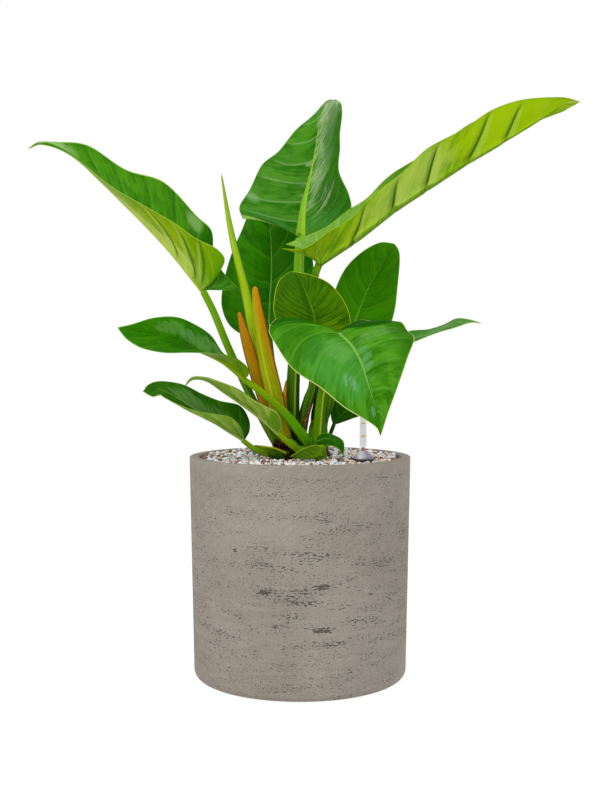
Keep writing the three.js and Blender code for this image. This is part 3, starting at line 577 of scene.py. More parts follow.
# %% Half a blade
LAST_ROW = 0.998
VEIN_CROWDING = 1.15
VEIN_SWEEP = 0.1
CURLED_SHARE = 0.25
NARROWEST = 0.05
SHARES = np.concatenate([[0, 0.02, 0.04, 0.065], np.linspace(0.1, 0.94, 16), [0.965, 0.985, 1]])


def half_blade(leaf, side, row):
    """Points of one half from the midrib out, its feet on the midrib, and its width at each row."""
    out = SHARES[None, :, None]
    row = row[:, None, None]
    fan = leaf["fan"]
    foot = np.maximum(0, (row - fan) / (1 - fan)) ** VEIN_CROWDING
    midrib = curve(leaf["midrib"])
    start = midrib(foot[..., 0])
    chord = curve(leaf[("left", "right")[side]])(row[..., 0]) - start
    width = np.maximum(np.linalg.norm(chord, axis=-1, keepdims=True), NARROWEST)
    up = np.array(leaf["up"][0]) * (1 - row) + np.array(leaf["up"][1]) * row
    up = unit(up - chord * (np.sum(up * chord, -1, keepdims=True) / width**2))
    arch = 4 * out * (1 - out) * width
    height, count, *phases = leaf["wave"]
    ripple = height * out**2 * np.sin(2 * math.pi * count * row + phases[side])
    bulge = leaf["bulge"][side] * np.minimum(1, row / fan)
    along = unit(midrib(foot[..., 0] + 0.01) - midrib(foot[..., 0] - 0.01))
    points = start + chord * out + up * (bulge * arch + ripple * np.sin(math.pi * row))
    curl = leaf["curl"][side] * np.maximum(0, 1 - row / CURLED_SHARE)
    points = points + along * arch * (curl - VEIN_SWEEP * np.sin(math.pi * row))
    return points, foot[..., 0], width[..., 0]


print(len(SHARES) * 2 - 1, "points from margin to margin")

# %% Swelling and creases
CREASE_BEND = 0.9
CREASE_SPREAD = 2.5
CREASE_FADE = 0.1


def pleats(leaf, row, place):
    """How far the lamina swells between its side veins, in mm, and how deep it is creased, 0 to 1.

    A crease is (half, row at the midrib, row at the margin, from, to, width): it leaves the midrib
    and bends towards the tip, and it is deep between two shares of the way out.
    """
    out = np.abs(place)
    order = row - np.where(place < 0, *leaf["slant"]) * out - leaf["bow"] * out * (1 - out)
    order = order * np.where(place < 0, *leaf["pairs"])
    pillow = np.abs(np.sin(math.pi * order)) ** 0.7
    lift = leaf["swell"] * pillow * ease(out, 0, 0.15) * ease(out, 1.05, 0.7) * np.sin(math.pi * row) ** 0.5
    fold = np.zeros(np.broadcast(row, out).shape)
    for hand, start, end, inner, outer, wide in leaf["creases"]:
        off = (row - start - (end - start) * out**CREASE_BEND) / (wide * CREASE_SPREAD)
        reach = ease(out, inner - CREASE_FADE, inner + CREASE_FADE)
        reach = reach * ease(out, outer + CREASE_FADE, outer - CREASE_FADE)
        fold = fold + np.exp(-(off**2)) * reach * (place * hand > 0)
    return lift, fold


print("creased leaves:", [name for name, leaf in LEAVES.items() if leaf["creases"]])


# %% Faces of a blade
def blade_faces(rows, columns):
    """Faces of the two skins, the rims and the ends of a blade, and the finish slot of each face."""
    count = rows * columns
    faces = grid_faces(rows, columns)
    slots = [0] * len(faces)
    faces += [tuple(count + i for i in face[::-1]) for face in faces]
    slots += [1] * len(slots)
    for side, column in enumerate((0, columns - 1)):
        rim = 2 * count + side * rows
        for r in range(rows - 1):
            a, b, c, d = r * columns + column, (r + 1) * columns + column, rim + r, rim + r + 1
            quads = [(a, b, d, c), (c, d, count + b, count + a)]
            faces += [quad[::-1] for quad in quads] if side else quads
    for r in (0, rows - 1):
        for column in range(columns - 1):
            a, b = r * columns + column, r * columns + column + 1
            faces.append((a, b, count + b, count + a) if r else (a, count + a, count + b, b))
    return faces, slots + [2] * (len(faces) - len(slots))


print("faces of the smallest blade:", len(blade_faces(2, 2)[0]))

# %% Sheet of a blade
CREASE_DEPTH = 2.0
NO_AREA = 1e-4


def facing_of(sheet):
    """The way that each point of a sheet faces, as long as the area there."""
    return np.cross(np.gradient(sheet, axis=1), np.gradient(sheet, axis=0))


def woven(leaf, row, place):
    """The sheet in the middle of a blade, the way it faces, its widths and its feet on the midrib."""
    halves = [half_blade(leaf, side, row) for side in (0, 1)]
    (left, left_foot, left_width), (right, right_foot, right_width) = halves
    middle = (left[:, :1] + right[:, :1]) / 2
    sheet = np.concatenate([left[:, :0:-1], middle, right[:, 1:]], 1)
    flat = np.linalg.norm(facing_of(sheet), axis=-1, keepdims=True) < NO_AREA
    up = np.array(leaf["up"][0])
    lift, fold = pleats(leaf, row[:, None], place)
    sheet = sheet + unit(np.where(flat, up, facing_of(sheet))) * (lift + CREASE_DEPTH * fold)[..., None]
    facing = unit(np.where(flat, up, facing_of(sheet)))
    return sheet, facing, np.where(place < 0, left_width, right_width), (left_foot + right_foot) / 2


print("crease depth", CREASE_DEPTH, "mm")

# %% Blade builder
RIB_DEPTH, RIB_SPREAD, RIB_LEAST = 0.7, 0.85, 0.4
GROOVE_DEPTH, GROOVE_SPREAD = 0.5, 0.6
BLADE_MIDDLE, BLADE_MARGIN = 1.1, 0.55
SLIM_WIDTHS = (2, 14)


def blade(name, finishes):
    """A leaf as one closed mesh: its upper skin, its lower skin and a rounded margin."""
    leaf = LEAVES[name]
    rows, columns = leaf["rows"], len(SHARES) * 2 - 1
    row = np.linspace(0, LAST_ROW, rows)
    place = np.concatenate([-SHARES[:0:-1], SHARES])[None, :]
    sheet, facing, width, foot = woven(leaf, row, place)
    out = np.abs(place)
    reach = out * width
    half = (BLADE_MIDDLE * (1 - out) + BLADE_MARGIN * out) / 2
    stalk_radius, slim = leaf["radius"][1], ease(width, *SLIM_WIDTHS)
    rib_wide = stalk_radius * RIB_SPREAD * (1 - foot) + RIB_LEAST
    rib = stalk_radius * RIB_DEPTH * (1 - foot) * np.exp(-((reach / rib_wide) ** 2))
    groove = GROOVE_DEPTH * np.exp(-((reach / (GROOVE_SPREAD * rib_wide)) ** 2)) * (1 - foot)
    upper = sheet + facing * (half - groove * slim)[..., None]
    lower = sheet - facing * (half + rib * slim)[..., None]
    margin = np.concatenate([sheet[:, 0], sheet[:, -1]])
    outward = np.concatenate([sheet[:, 0] - sheet[:, 1], sheet[:, -1] - sheet[:, -2]])
    margin = margin + unit(outward) * BLADE_MARGIN / 2
    points = np.concatenate([upper.reshape(-1, 3), lower.reshape(-1, 3), margin])
    spot = np.stack(np.broadcast_arrays(place, row[:, None], reach), -1).reshape(-1, 3)
    brink = ((1 - out) * width).reshape(-1)
    notes = {
        "spot": np.concatenate([spot, spot, spot[::columns], spot[columns - 1 :: columns]]),
        "brink": np.concatenate([brink, brink, np.zeros(2 * rows)]),
        "foot": np.concatenate([np.broadcast_to(foot, reach.shape).reshape(-1)] * 2 + [foot[:, 0]] * 2),
    }
    faces, slots = blade_faces(rows, columns)
    piece = make_piece(f"{name}_blade", points, faces, finishes, slots=slots, notes=notes)
    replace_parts(piece, name)


print("blade builder ready")

# %% [markdown]
# ## The leaves: their finish
#
# A philodendron's leaf has a soft sheen, and it is paler below. The side veins stand out from the
# lamina and sit in shallow grooves, with finer veins between them, and the midrib is a pale
# band that thins towards the tip. The margin is a thin yellow-green line. One material paints all
# of that on the places stored in the mesh, and each leaf gives it its own greens. It paints light
# and shade too: painted shade across each strip between two side veins, and a painted highlight
# and painted shade along each crease.

# %% Leaf paints
GREEN_SHEEN = (0.75, 1.0, 0.35, 1)
HALVES_APART = 7.3
VEIN_WANDER = 0.25
FINER_VEINS = 4


class LeafFinish(Finish):
    """One face of a leaf. Each method paints one thing on the places that the blade's mesh stores."""

    def __init__(self, name, leaf, look):
        super().__init__(name, specular=look["specular"], sheen=GREEN_SHEEN)
        self.look = look
        self.across, self.row, self.reach = self.split(self.attribute("spot"))
        self.foot, self.brink = self.number("foot"), self.number("brink")
        self.out = abs(self.across)
        self.right = self.math("GREATER_THAN", self.across, 0.0)
        side = self.right * HALVES_APART
        pairs, slant = (self.right * (last - first) + first for first, last in (leaf["pairs"], leaf["slant"]))
        order = (self.row - slant * self.out - self.out * (1 - self.out) * leaf["bow"]) * pairs
        wander = self.noise(self.join(order * 0.8, side, 1.5), 1.0, 1.0, 0.5)
        self.order = order + (wander - 0.5) * VEIN_WANDER * self.out
        self.grain = self.noise(self.join(self.across * 2.4, self.order * 3.2, side), 1.0, 4.0, 0.62)
        self.fine = self.noise(self.join(self.across * 4.0, self.order * 11.0, side + 2), 1.0, 3.0, 0.65)

    def veins(self):
        """1 on the side veins, which fade before the margin."""
        from_vein = abs(self.math("FRACT", self.order + 0.5) - 0.5)
        wide = self.look["vein_width"]
        return self.ramp(from_vein, wide * 1.5, wide * 0.3) * self.ramp(self.out, 1.0, 0.7)

    def lamina(self, dark, light):
        """The blade's green, from dark to light by its grain, its cloudy tone and its finer veins, with
        painted shade across each band between two side veins, which runs from dark to light as the swell
        between the veins would be lit.
        """
        band = self.math("FRACT", self.order)
        from_branch = abs(self.math("FRACT", self.order * FINER_VEINS + 0.5) - 0.5)
        branch = self.ramp(from_branch, 0.3, 0.05) * self.ramp(self.out, 0.95, 0.5)
        cloud = self.noise(self.place(), 34.0, 4.0, 0.6)
        share = 0.5 + (self.grain - 0.5) * 1.2 * self.look["grain"] + (self.fine - 0.5) * self.look["fine"]
        share = share + (cloud - 0.5) * 1.1 + (band - 0.5) * self.look["band"] + branch * 0.12
        return self.mix(self.ramp(share, 0.05, 0.95), dark, light)

    def wash(self, colour, at, from_row, wide, long, tint, strength, streaky):
        """A patch of a tint: an oval round a place on the leaf, given across and by its row. Patches
        paint sheen, glints and shade as well as the leaf's own tints.

        It is broken up along the veins by streaky, and even up to its rim where that is -1.
        """
        off = abs((self.across - at) / wide) ** 2 + abs((self.row - from_row) / long) ** 2
        wash = self.ramp(off, 1.0, 0.8 if streaky < 0 else 0.0)
        if streaky > 0:
            wash = wash + (self.grain - 0.5) * 1.8 * streaky + (self.fine - 0.5) * 0.9 * streaky
            wash = self.ramp(wash, 0.25, 0.95) * self.ramp(off, 1.6, 0.9)
        return self.mix(wash * strength, colour, tint)

    def midrib(self, colour, rib, vein):
        """A pale band along the midrib that thins towards the tip."""
        width = self.look["rib_width"] * (1 - self.foot * 0.95) ** self.look["rib_taper"]
        line = self.ramp(self.reach - width, 0.4, -0.4) * self.ramp(self.foot, 1.0, 0.8)
        return self.mix(line, colour, self.mix(self.ramp(self.fine, 0.3, 0.7) * 0.35, rib, vein))

    def crease(self, colour, hand, start, end, inner, outer, wide):
        """A fold as pleats() bends it, in painted light and shade: a painted highlight on its ridge, a soft
        painted shade beside it, and a dark line of painted shade in its bottom.
        """
        bend = self.out**CREASE_BEND * (end - start) + start
        off = (self.row - bend) / (wide * (1.4 - 0.8 * self.out))
        reached = self.ramp(self.out, inner - 0.1, inner + 0.1)
        reached = reached * self.ramp(self.out, outer + 0.15, outer - 0.25)
        reached = reached * self.ramp(self.across * hand, 0.0, 0.01)
        # The ridge colour is a painted highlight, and the fold colour is painted shade.
        ridge, fold = self.look["ridge_highlight_colour"], self.look["crease_shade_colour"]
        stripes = [(2.6, 2.0, 0.0, 0.45, ridge), (-1.2, 2.4, 0.0, 0.4, fold), (0.0, 1.1, 0.2, 0.9, fold)]
        for middle, rim, core, share, tint in stripes:
            stripe = self.ramp(abs(off - middle), rim, core) * reached
            colour = self.mix(stripe * share, colour, tint)
        return colour


print("leaf paints ready")

# %% Leaf finish
LEAF_ROUGHNESS = 0.42
EDGE_WIDTH = 0.7
# band is painted shade across each strip between two side veins, from dark to light; a negative band turns it
# round. The fold and ridge colours are the painted shade and highlight of the creases.
PLAIN_LOOK = dict(
    vein_width=0.07, vein_share=0.4, right_veins=1.0, rib_width=3.0, rib_taper=1.0, band=0.35, grain=1.0,
    fine=0.6, specular=0.05, relief=0.0006, crease_shade_colour=(30, 78, 6), ridge_highlight_colour=(150, 180, 60), patches=(),
)


def leaf_finish(name, leaf, edge, greens, **more):
    """A face's finish. The greens are the lamina's dark and light, the side veins' and the midrib's."""
    look = {**PLAIN_LOOK, **more}
    dark, light, vein, rib = greens
    finish = LeafFinish(name, leaf, look)
    veins = finish.veins()
    colour = finish.lamina(dark, light)
    for patch in look["patches"]:
        colour = finish.wash(colour, *patch)
    vein_share = veins * look["vein_share"] * (finish.right * (look["right_veins"] - 1) + 1)
    colour = finish.mix(vein_share, colour, vein)
    colour = finish.midrib(colour, rib, vein)
    for crease in leaf["creases"]:
        colour = finish.crease(colour, *crease)
    margin = finish.ramp(finish.brink, EDGE_WIDTH * 1.4, EDGE_WIDTH * 0.5)
    finish.set("Base Color", finish.mix(margin, colour, edge))
    finish.set("Roughness", (finish.fine - 0.5) * 0.15 + LEAF_ROUGHNESS)
    finish.relief(finish.fine * 0.35 + finish.grain * 0.35 - veins * 0.6, look["relief"])
    return finish.material


print("leaf finish ready, with", len(PLAIN_LOOK), "settings")

# %% [markdown]
# ## The greens of each leaf
#
# No two leaves have the same green: old ones are deep and bluish, young ones yellow, and each
# catches the light or hides from it. Colours are given as a screen shows them, from 0 to 255. Each
# patch lays a tint on one part of the leaf. Many are painted light and shade, such as a painted glint
# on the front leaf or a dark lobe as painted shade; others are the leaf's own tints. A leaf whose
# lower face never shows has the plain pale one.

# %% Greens of each leaf
LOOKS = {
    "leaf_1": dict(
        edge=(130, 168, 50),
        upper=dict(
            greens=((40, 102, 8), (70, 136, 18), (92, 152, 40), (110, 160, 60)),
            vein_share=0.3, band=0.4, grain=1.2, fine=0.9,
            # Painted light and shade: the first patch is a highlight on the far lobe, the second shade below
            # it, and the third a sheen near the tip.
            patches=[(0.88, 0.392, 0.16, 0.045, (130, 174, 96), 0.7, 0.0),
                (0.75, 0.31, 0.4, 0.07, (22, 88, 0), 0.8, 0.0),
                (0.5, 0.85, 0.9, 0.12, (140, 174, 108), 0.9, 0.4),
                (0.0, 1.0, 3.0, 0.07, (104, 136, 16), 0.9, 0.0),
                (0.8, 0.2, 0.9, 0.17, (24, 90, 0), 0.9, 0.3)],
        ),
        lower=dict(
            greens=((92, 134, 0), (136, 164, 8), (150, 174, 36), (160, 184, 60)),
            vein_share=0.3, rib_width=1.2, crease_shade_colour=(56, 100, 0), ridge_highlight_colour=(176, 194, 90),
            fine=1.0,
            # The first patch is a painted sheen, in streaks beside the midrib.
            patches=[(-0.15, 0.5, 0.35, 0.45, (170, 190, 84), 0.8, 0.9),
                (-0.7, 0.1, 0.9, 0.26, (76, 126, 0), 0.9, 0.3),
                (-0.6, 0.12, 0.9, 0.24, (88, 138, 0), 0.6, -1),
                (0.0, 1.0, 3.0, 0.07, (104, 136, 16), 0.9, 0.0)],
        ),
    ),
    "leaf_2": dict(
        edge=(70, 124, 14),
        upper=dict(
            greens=((32, 96, 6), (70, 126, 34), (124, 164, 96), (130, 178, 10)),
            rib_width=6.8, rib_taper=3.0, vein_share=0.42, vein_width=0.055, right_veins=0.5, band=-0.5,
            grain=1.3, fine=0.9,
            # Many of these patches are painted light and shade: the pale grey and whitish streaky ones are
            # painted sheen, the small pale one near the left margin a painted highlight, and the dark streaky
            # ones on the right half painted shade between the sheens.
            patches=[(-0.55, 0.62, 0.5, 0.16, (62, 126, 20), 0.6, 0.5),
                (-0.5, 0.1, 0.6, 0.12, (44, 110, 44), 0.5, 0.5),
                (0.4, 0.8, 0.9, 0.24, (96, 126, 72), 0.85, 0.2),
                (0.4, 0.84, 0.7, 0.2, (150, 170, 124), 0.7, 2.4),
                (0.3, 0.5, 0.4, 0.25, (104, 142, 80), 0.7, 2.2), (0.75, 0.3, 0.5, 0.2, (28, 86, 0), 0.7, 0.6),
                (0.9, 0.55, 0.3, 0.3, (30, 88, 2), 0.7, 0.6), (0.45, 0.2, 0.5, 0.12, (48, 116, 32), 0.7, 1.4),
                (0.5, 0.36, 0.4, 0.16, (30, 80, 14), 0.7, 2.2),
                (0.35, 0.55, 0.5, 0.3, (134, 162, 112), 0.6, 3.0),
                (0.6, 0.66, 0.4, 0.26, (34, 84, 20), 0.7, 2.8),
                (-0.92, 0.222, 0.18, 0.03, (140, 172, 118), 0.4, 0.0),
                (0.97, 0.79, 0.16, 0.03, (34, 94, 0), 0.9, -1),
                (0.97, 0.71, 0.14, 0.025, (34, 94, 0), 0.9, -1),
                (-0.5, 0.0, 1.2, 0.045, (122, 166, 70), 1.0, -1)],
        ),
    ),
    "leaf_3": dict(
        edge=(128, 160, 20),
        upper=dict(
            greens=((84, 136, 34), (118, 160, 66), (150, 184, 92), (150, 190, 70)),
            vein_share=0.5,
            patches=[(-0.5, 0.6, 1.6, 0.3, (58, 114, 8), 0.8, 0.3)],
        ),
        lower=dict(
            greens=((100, 140, 0), (136, 166, 24), (150, 174, 64), (84, 124, 0)),
            vein_share=0.2, rib_width=3.2, band=0.5, crease_shade_colour=(22, 70, 0), ridge_highlight_colour=(156, 178, 84),
            fine=1.0,
            patches=[(0.5, 0.48, 0.9, 0.2, (156, 180, 80), 0.55, 0.7),
                (0.5, 0.14, 0.9, 0.17, (62, 112, 0), 0.85, 0.6),
                (0.6, 0.14, 0.6, 0.12, (150, 170, 20), 0.35, 2.6),
                (0.5, 0.78, 0.9, 0.24, (140, 174, 0), 0.8, 0.3),
                (0.2, 0.97, 0.5, 0.05, (176, 196, 90), 0.7, 1.0)],
        ),
    ),
    "leaf_4": dict(
        edge=(150, 172, 20),
        upper=dict(
            greens=((36, 76, 0), (64, 108, 0), (38, 74, 0), (78, 122, 4)),
            vein_share=0.55, rib_width=1.0, vein_width=0.09, band=0.3, grain=1.3, fine=1.0, relief=0.0003,
            # The narrow dark patch beside the midrib is painted shade.
            patches=[(-0.2, 0.85, 1.2, 0.22, (44, 90, 0), 0.6, 0.3),
                (-0.1, 0.7, 0.12, 0.5, (32, 72, 0), 0.7, 0.3), (0.5, 0.2, 0.8, 0.25, (92, 136, 0), 0.7, 0.9)],
        ),
    ),
    "leaf_5": dict(
        edge=(178, 192, 108),
        upper=dict(
            greens=((38, 98, 4), (70, 134, 26), (86, 146, 50), (112, 158, 72)),
            rib_width=2.0, rib_taper=1.3, vein_share=0.3, grain=1.3, fine=1.0, specular=0.02,
            # Painted light and shade: the pale bluish streaky patches are painted glints, and the dark patches
            # on the lobes at the foot are painted shade where the lobes turn up and away from the light.
            patches=[(0.35, 0.6, 0.8, 0.25, (62, 132, 46), 0.7, 0.8),
                (-0.5, 0.5, 0.6, 0.06, (92, 140, 66), 0.45, 1.0),
                (0.5, 0.95, 1.2, 0.2, (36, 94, 2), 0.7, 0.4), (-0.9, 0.5, 0.35, 0.3, (38, 90, 6), 0.6, 0.5),
                (0.8, 0.1, 0.8, 0.3, (22, 84, 0), 0.9, 0.3), (-0.6, 0.2, 0.6, 0.26, (14, 70, 0), 0.95, -1),
                (0.75, 0.1, 0.7, 0.2, (22, 82, 0), 0.7, -1),
                (0.45, 0.67, 0.2, 0.05, (124, 168, 140), 0.35, 2.0),
                (-0.12, 0.62, 0.15, 0.1, (100, 150, 96), 0.35, 2.0),
                (0.25, 0.52, 0.3, 0.1, (96, 150, 76), 0.35, 1.2),
                (0.6, 0.42, 0.4, 0.14, (26, 88, 0), 0.5, 2.0),
                (0.35, 0.86, 0.3, 0.04, (110, 160, 110), 0.35, 1.6)],
        ),
    ),
    "leaf_6": dict(
        edge=(96, 150, 30),
        upper=dict(
            greens=((40, 102, 0), (54, 122, 0), (60, 126, 4), (88, 150, 24)),
            rib_width=1.6, rib_taper=0.5, vein_share=0.3,
        ),
    ),
    "leaf_7": dict(
        edge=(140, 168, 80),
        upper=dict(greens=((44, 100, 10), (66, 124, 30), (88, 140, 50), (120, 160, 80))),
        lower=dict(
            greens=((160, 154, 72), (210, 190, 120), (214, 198, 136), (220, 206, 150)),
            rib_width=1.2,
        ),
    ),
    "leaf_8": dict(
        edge=(60, 120, 10),
        upper=dict(
            greens=((22, 84, 0), (46, 116, 2), (62, 126, 16), (96, 150, 50)),
            rib_width=1.5, vein_share=0.35,
            # The first patch is a painted shadow, cast by leaf_2 in front of it.
            patches=[(0.3, 0.6, 0.7, 0.5, (26, 82, 0), 0.7, 0.4),
                (-0.6, 0.4, 0.4, 0.4, (52, 122, 2), 0.5, 0.5)],
        ),
    ),
    "leaf_9": dict(
        edge=(96, 150, 20),
        upper=dict(
            greens=((28, 92, 0), (48, 112, 2), (62, 122, 16), (44, 104, 2)),
            vein_share=0.3, rib_width=1.6,
            # The grey patches are painted sheen, and the dark one painted shade in a fold.
            patches=[(0.4, 0.5, 0.5, 0.2, (84, 132, 62), 0.7, 1.4),
                (-0.2, 0.6, 0.5, 0.12, (24, 82, 0), 0.7, 1.2),
                (0.5, 0.7, 0.4, 0.12, (78, 126, 52), 0.6, 1.6)],
        ),
        lower=dict(greens=((78, 124, 0), (116, 156, 0), (128, 164, 4), (140, 172, 20))),
    ),
    "leaf_10": dict(
        edge=(110, 150, 50),
        upper=dict(
            greens=((24, 76, 0), (44, 94, 10), (64, 108, 32), (96, 130, 60)),
            vein_share=0.35,
            # The grey streaky patch is a painted sheen.
            patches=[(0.3, 0.6, 0.6, 0.3, (92, 128, 66), 0.45, 1.8),
                (0.7, 0.3, 0.4, 0.2, (26, 70, 0), 0.7, 0.6)],
        ),
        lower=dict(greens=((80, 120, 16), (136, 164, 66), (152, 176, 92), (156, 176, 100))),
    ),
    "leaf_11": dict(
        edge=(150, 176, 90),
        upper=dict(greens=((50, 104, 6), (78, 130, 20), (100, 150, 40), (120, 160, 60))),
        lower=dict(
            greens=((98, 134, 20), (146, 172, 70), (160, 182, 96), (160, 182, 100)),
            rib_width=1.4, vein_share=0.2,
            # The small pale streaky patch is a painted reflection.
            patches=[(0.0, 0.1, 2.0, 0.23, (80, 128, 4), 0.85, -1),
                (0.2, 0.2, 0.3, 0.08, (130, 158, 80), 0.3, 1.6),
                (0.0, 0.85, 2.0, 0.4, (112, 148, 46), 0.8, 0.3)],
        ),
    ),
    "leaf_12": dict(
        edge=(60, 110, 10),
        upper=dict(greens=((20, 70, 0), (34, 86, 0), (44, 96, 4), (60, 110, 20)), rib_width=1.0),
    ),
    "leaf_13": dict(
        edge=(130, 164, 40),
        upper=dict(greens=((44, 100, 0), (76, 134, 4), (90, 146, 20), (110, 156, 40)), rib_width=1.0),
        lower=dict(greens=((60, 106, 0), (98, 138, 14), (118, 150, 40), (70, 116, 4)), rib_width=1.2),
    ),
    "leaf_14": dict(
        edge=(120, 160, 40),
        upper=dict(greens=((18, 74, 0), (40, 104, 4), (80, 136, 30), (96, 146, 44)), rib_width=1.0),
    ),
}
PALE_UNDER = dict(greens=((84, 128, 34), (122, 158, 66), (140, 172, 84), (150, 180, 90)))


def leaf_finishes(name, edge, upper, lower=PALE_UNDER):
    """The finishes of one leaf: upper face, lower face and margin."""
    faces = [
        leaf_finish(f"{name}_{side}", LEAVES[name], edge, **face)
        for side, face in (("upper", upper), ("lower", lower))
    ]
    rim = Finish(f"{name}_margin", specular=0.05, sheen=GREEN_SHEEN).set("Base Color", edge)
    return [*faces, rim.material]


for name in LEAVES:
    blade(name, leaf_finishes(name, **LOOKS[name]))
print("blades made:", len(LEAVES))

# %% [markdown]
# ## The stalks
#
# A stalk is a long green rod, thick at its foot, and it isn't round: the side that faces the
# viewer is flattened between two low ridges. It is swept along its route with that section, and it
# ends a little inside its blade. Its green changes from the foot to the blade, with fine stripes
# along it. Some stalks have a painted highlight along a ridge and painted shade on one side, and
# some a dry collar or an orange toe.

# %% Sweeps
FRONT = np.array([0, -1, 0.05])
LOOK_AHEAD = 0.004
BLUNT = 0.02


def sweep(name, route, radii, depth, finish, section, steps=70, sides=24, ends=2.0):
    """A closed tube along a route, with an oval section shaped by section(angle, along)."""
    path, widths = curve(route), curve([(radius, 0, 0) for radius in radii])
    along = np.linspace(0, 1, steps)
    centre = path(along)
    forward = unit(path(np.minimum(along + LOOK_AHEAD, 1)) - path(np.maximum(along - LOOK_AHEAD, 0)))
    front = unit(FRONT - forward * (forward @ FRONT)[:, None])
    side = np.cross(front, forward)
    to_end = np.minimum(along, 1 - along) * np.linalg.norm(np.diff(centre, axis=0), axis=1).sum()
    rounded = np.sqrt(np.clip(1 - (1 - np.clip(to_end / ends, 0, 1)) ** 2, BLUNT, 1))
    turn = np.linspace(0, 2 * math.pi, sides, endpoint=False)
    right, ahead = np.cos(turn), np.sin(turn)
    shape = section(turn[None, :], along[:, None]) * (widths(along)[:, 0] * rounded)[:, None]
    points = centre[:, None] + side[:, None] * (shape * right)[..., None]
    points = points + front[:, None] * (shape * ahead)[..., None] * depth
    faces = [face[::-1] for face in grid_faces(steps, sides, closed=True)]
    faces.append(tuple(range(sides)))
    faces.append(tuple(range((steps - 1) * sides, steps * sides))[::-1])
    spot = np.stack(np.broadcast_arrays(right[None, :], along[:, None], ahead[None, :]), -1)
    return make_piece(name, points.reshape(-1, 3), faces, [finish], notes={"spot": spot.reshape(-1, 3)})


print("sweep ready")

# %% Stalk section and skin
RIDGE_ANGLES = (0.62, math.pi - 0.62)
RIDGE_HEIGHT, RIDGE_SPREAD = 0.07, 0.16
FLAT_DEPTH, FLAT_SPREAD = 0.1, 0.55


def bump(angle, at, spread):
    """A smooth swelling of height 1 round one angle of a section."""
    return np.exp(-(((angle - at) / spread) ** 2))


def channelled(angle, along):
    """A round section with a flat front between two low ridges."""
    ridges = sum(bump(angle, at, RIDGE_SPREAD) for at in RIDGE_ANGLES)
    return 1 - FLAT_DEPTH * bump(angle, math.pi / 2, FLAT_SPREAD) + RIDGE_HEIGHT * ridges + 0 * along


def stalk_finish(name, greens, ridge=None, ridge_at=0.4, shade=None, shade_from=0.6, collar=None, toe=None):
    """Green skin from the foot up. Across runs from -1 at the left edge to 1 at the right one.

    On a leaf's stalk the line along its ridge is a painted highlight, and shade is painted shade on
    one side.
    """
    finish = Finish(name, roughness=0.45, specular=0.08, sheen=GREEN_SHEEN)
    side, along, front = finish.split(finish.attribute("spot"))
    across = 0 - side
    stripes = finish.noise(finish.join(side * 5, along * 2.5, front * 5), 1.6, 4.0, 0.65)
    blotch = finish.noise(finish.place(), 40.0, 2.0, 0.5)
    height = along + (blotch - 0.5) * 0.25
    foot, middle, top = greens
    colour = finish.mix(finish.ramp(height, 0.08, 0.35), foot, middle)
    colour = finish.mix(finish.ramp(height, 0.35, 0.75), colour, top)
    colour = finish.mix(finish.ramp(stripes, 0.45, 0.75) * 0.3, colour, ridge or top)
    # Painted shade on one side of the stalk, fading out towards the blade.
    if shade:
        shaded = finish.ramp(across, shade_from - 0.05, shade_from + 0.05) * finish.ramp(along, 0.75, 0.6)
        colour = finish.mix(shaded, colour, shade)
    # On a leaf's stalk this line is a painted highlight on the ridge that faces the viewer.
    if ridge:
        line = finish.ramp(abs(across - ridge_at), 0.2, 0.03) * finish.ramp(front, -0.1, 0.2)
        colour = finish.mix(line * 0.85, colour, ridge)
    if toe:
        colour = finish.mix(finish.ramp(height, 0.1, -0.04) * 0.8, colour, toe)
    if collar:
        colour = finish.mix(finish.ramp(along, 0.955, 0.975) * 0.9, colour, collar)
    finish.set("Base Color", colour)
    return finish.relief(stripes, 0.0005).material


print("stalk skin ready")

# %% Stalks
# A ridge colour paints the highlight along a leaf stalk's ridge and also tints its stripes; a shade colour is
# painted shade on one side.
STALK_LOOKS = {
    "leaf_1": dict(
        greens=((84, 128, 0), (66, 118, 0), (92, 144, 4)), ridge=(122, 166, 36), ridge_at=-0.35,
    ),
    "leaf_2": dict(
        greens=((38, 72, 0), (50, 92, 0), (98, 156, 22)), ridge=(142, 168, 50), ridge_at=0.35,
        shade=(20, 66, 0), shade_from=0.4,
    ),
    "leaf_3": dict(
        greens=((80, 96, 8), (54, 100, 0), (74, 120, 2)), ridge=(118, 140, 10), ridge_at=0.45,
        shade=(28, 70, 0), shade_from=0.55, collar=(58, 50, 10),
    ),
    "leaf_4": dict(greens=((40, 86, 0), (64, 112, 0), (84, 136, 4))),
    "leaf_5": dict(
        greens=((92, 150, 0), (88, 146, 0), (76, 128, 2)), ridge=(196, 210, 64), ridge_at=0.3,
        shade=(54, 108, 0), shade_from=0.6, toe=(206, 126, 0),
    ),
    "leaf_6": dict(greens=((44, 90, 2), (50, 100, 0), (60, 116, 4))),
    "leaf_7": dict(greens=((70, 118, 0), (84, 128, 4), (96, 136, 20))),
    "leaf_8": dict(greens=((36, 82, 0), (40, 90, 0), (46, 100, 0))),
    "leaf_9": dict(
        greens=((62, 132, 4), (88, 154, 2), (124, 156, 2)), ridge=(120, 178, 10), ridge_at=-0.5,
    ),
    "leaf_10": dict(
        greens=((26, 74, 0), (66, 112, 2), (110, 150, 10)), ridge=(128, 164, 30), ridge_at=-0.3,
    ),
    "leaf_11": dict(
        greens=((64, 122, 0), (88, 146, 2), (120, 160, 8)), ridge=(150, 182, 20), ridge_at=-0.5,
    ),
    "leaf_12": dict(greens=((60, 106, 2), (46, 96, 0), (34, 84, 0))),
    "leaf_13": dict(greens=((196, 128, 6), (120, 146, 2), (104, 146, 2))),
    "leaf_14": dict(greens=((60, 120, 4), (60, 126, 4), (50, 110, 2))),
}
STALK_ROOT = 3.0


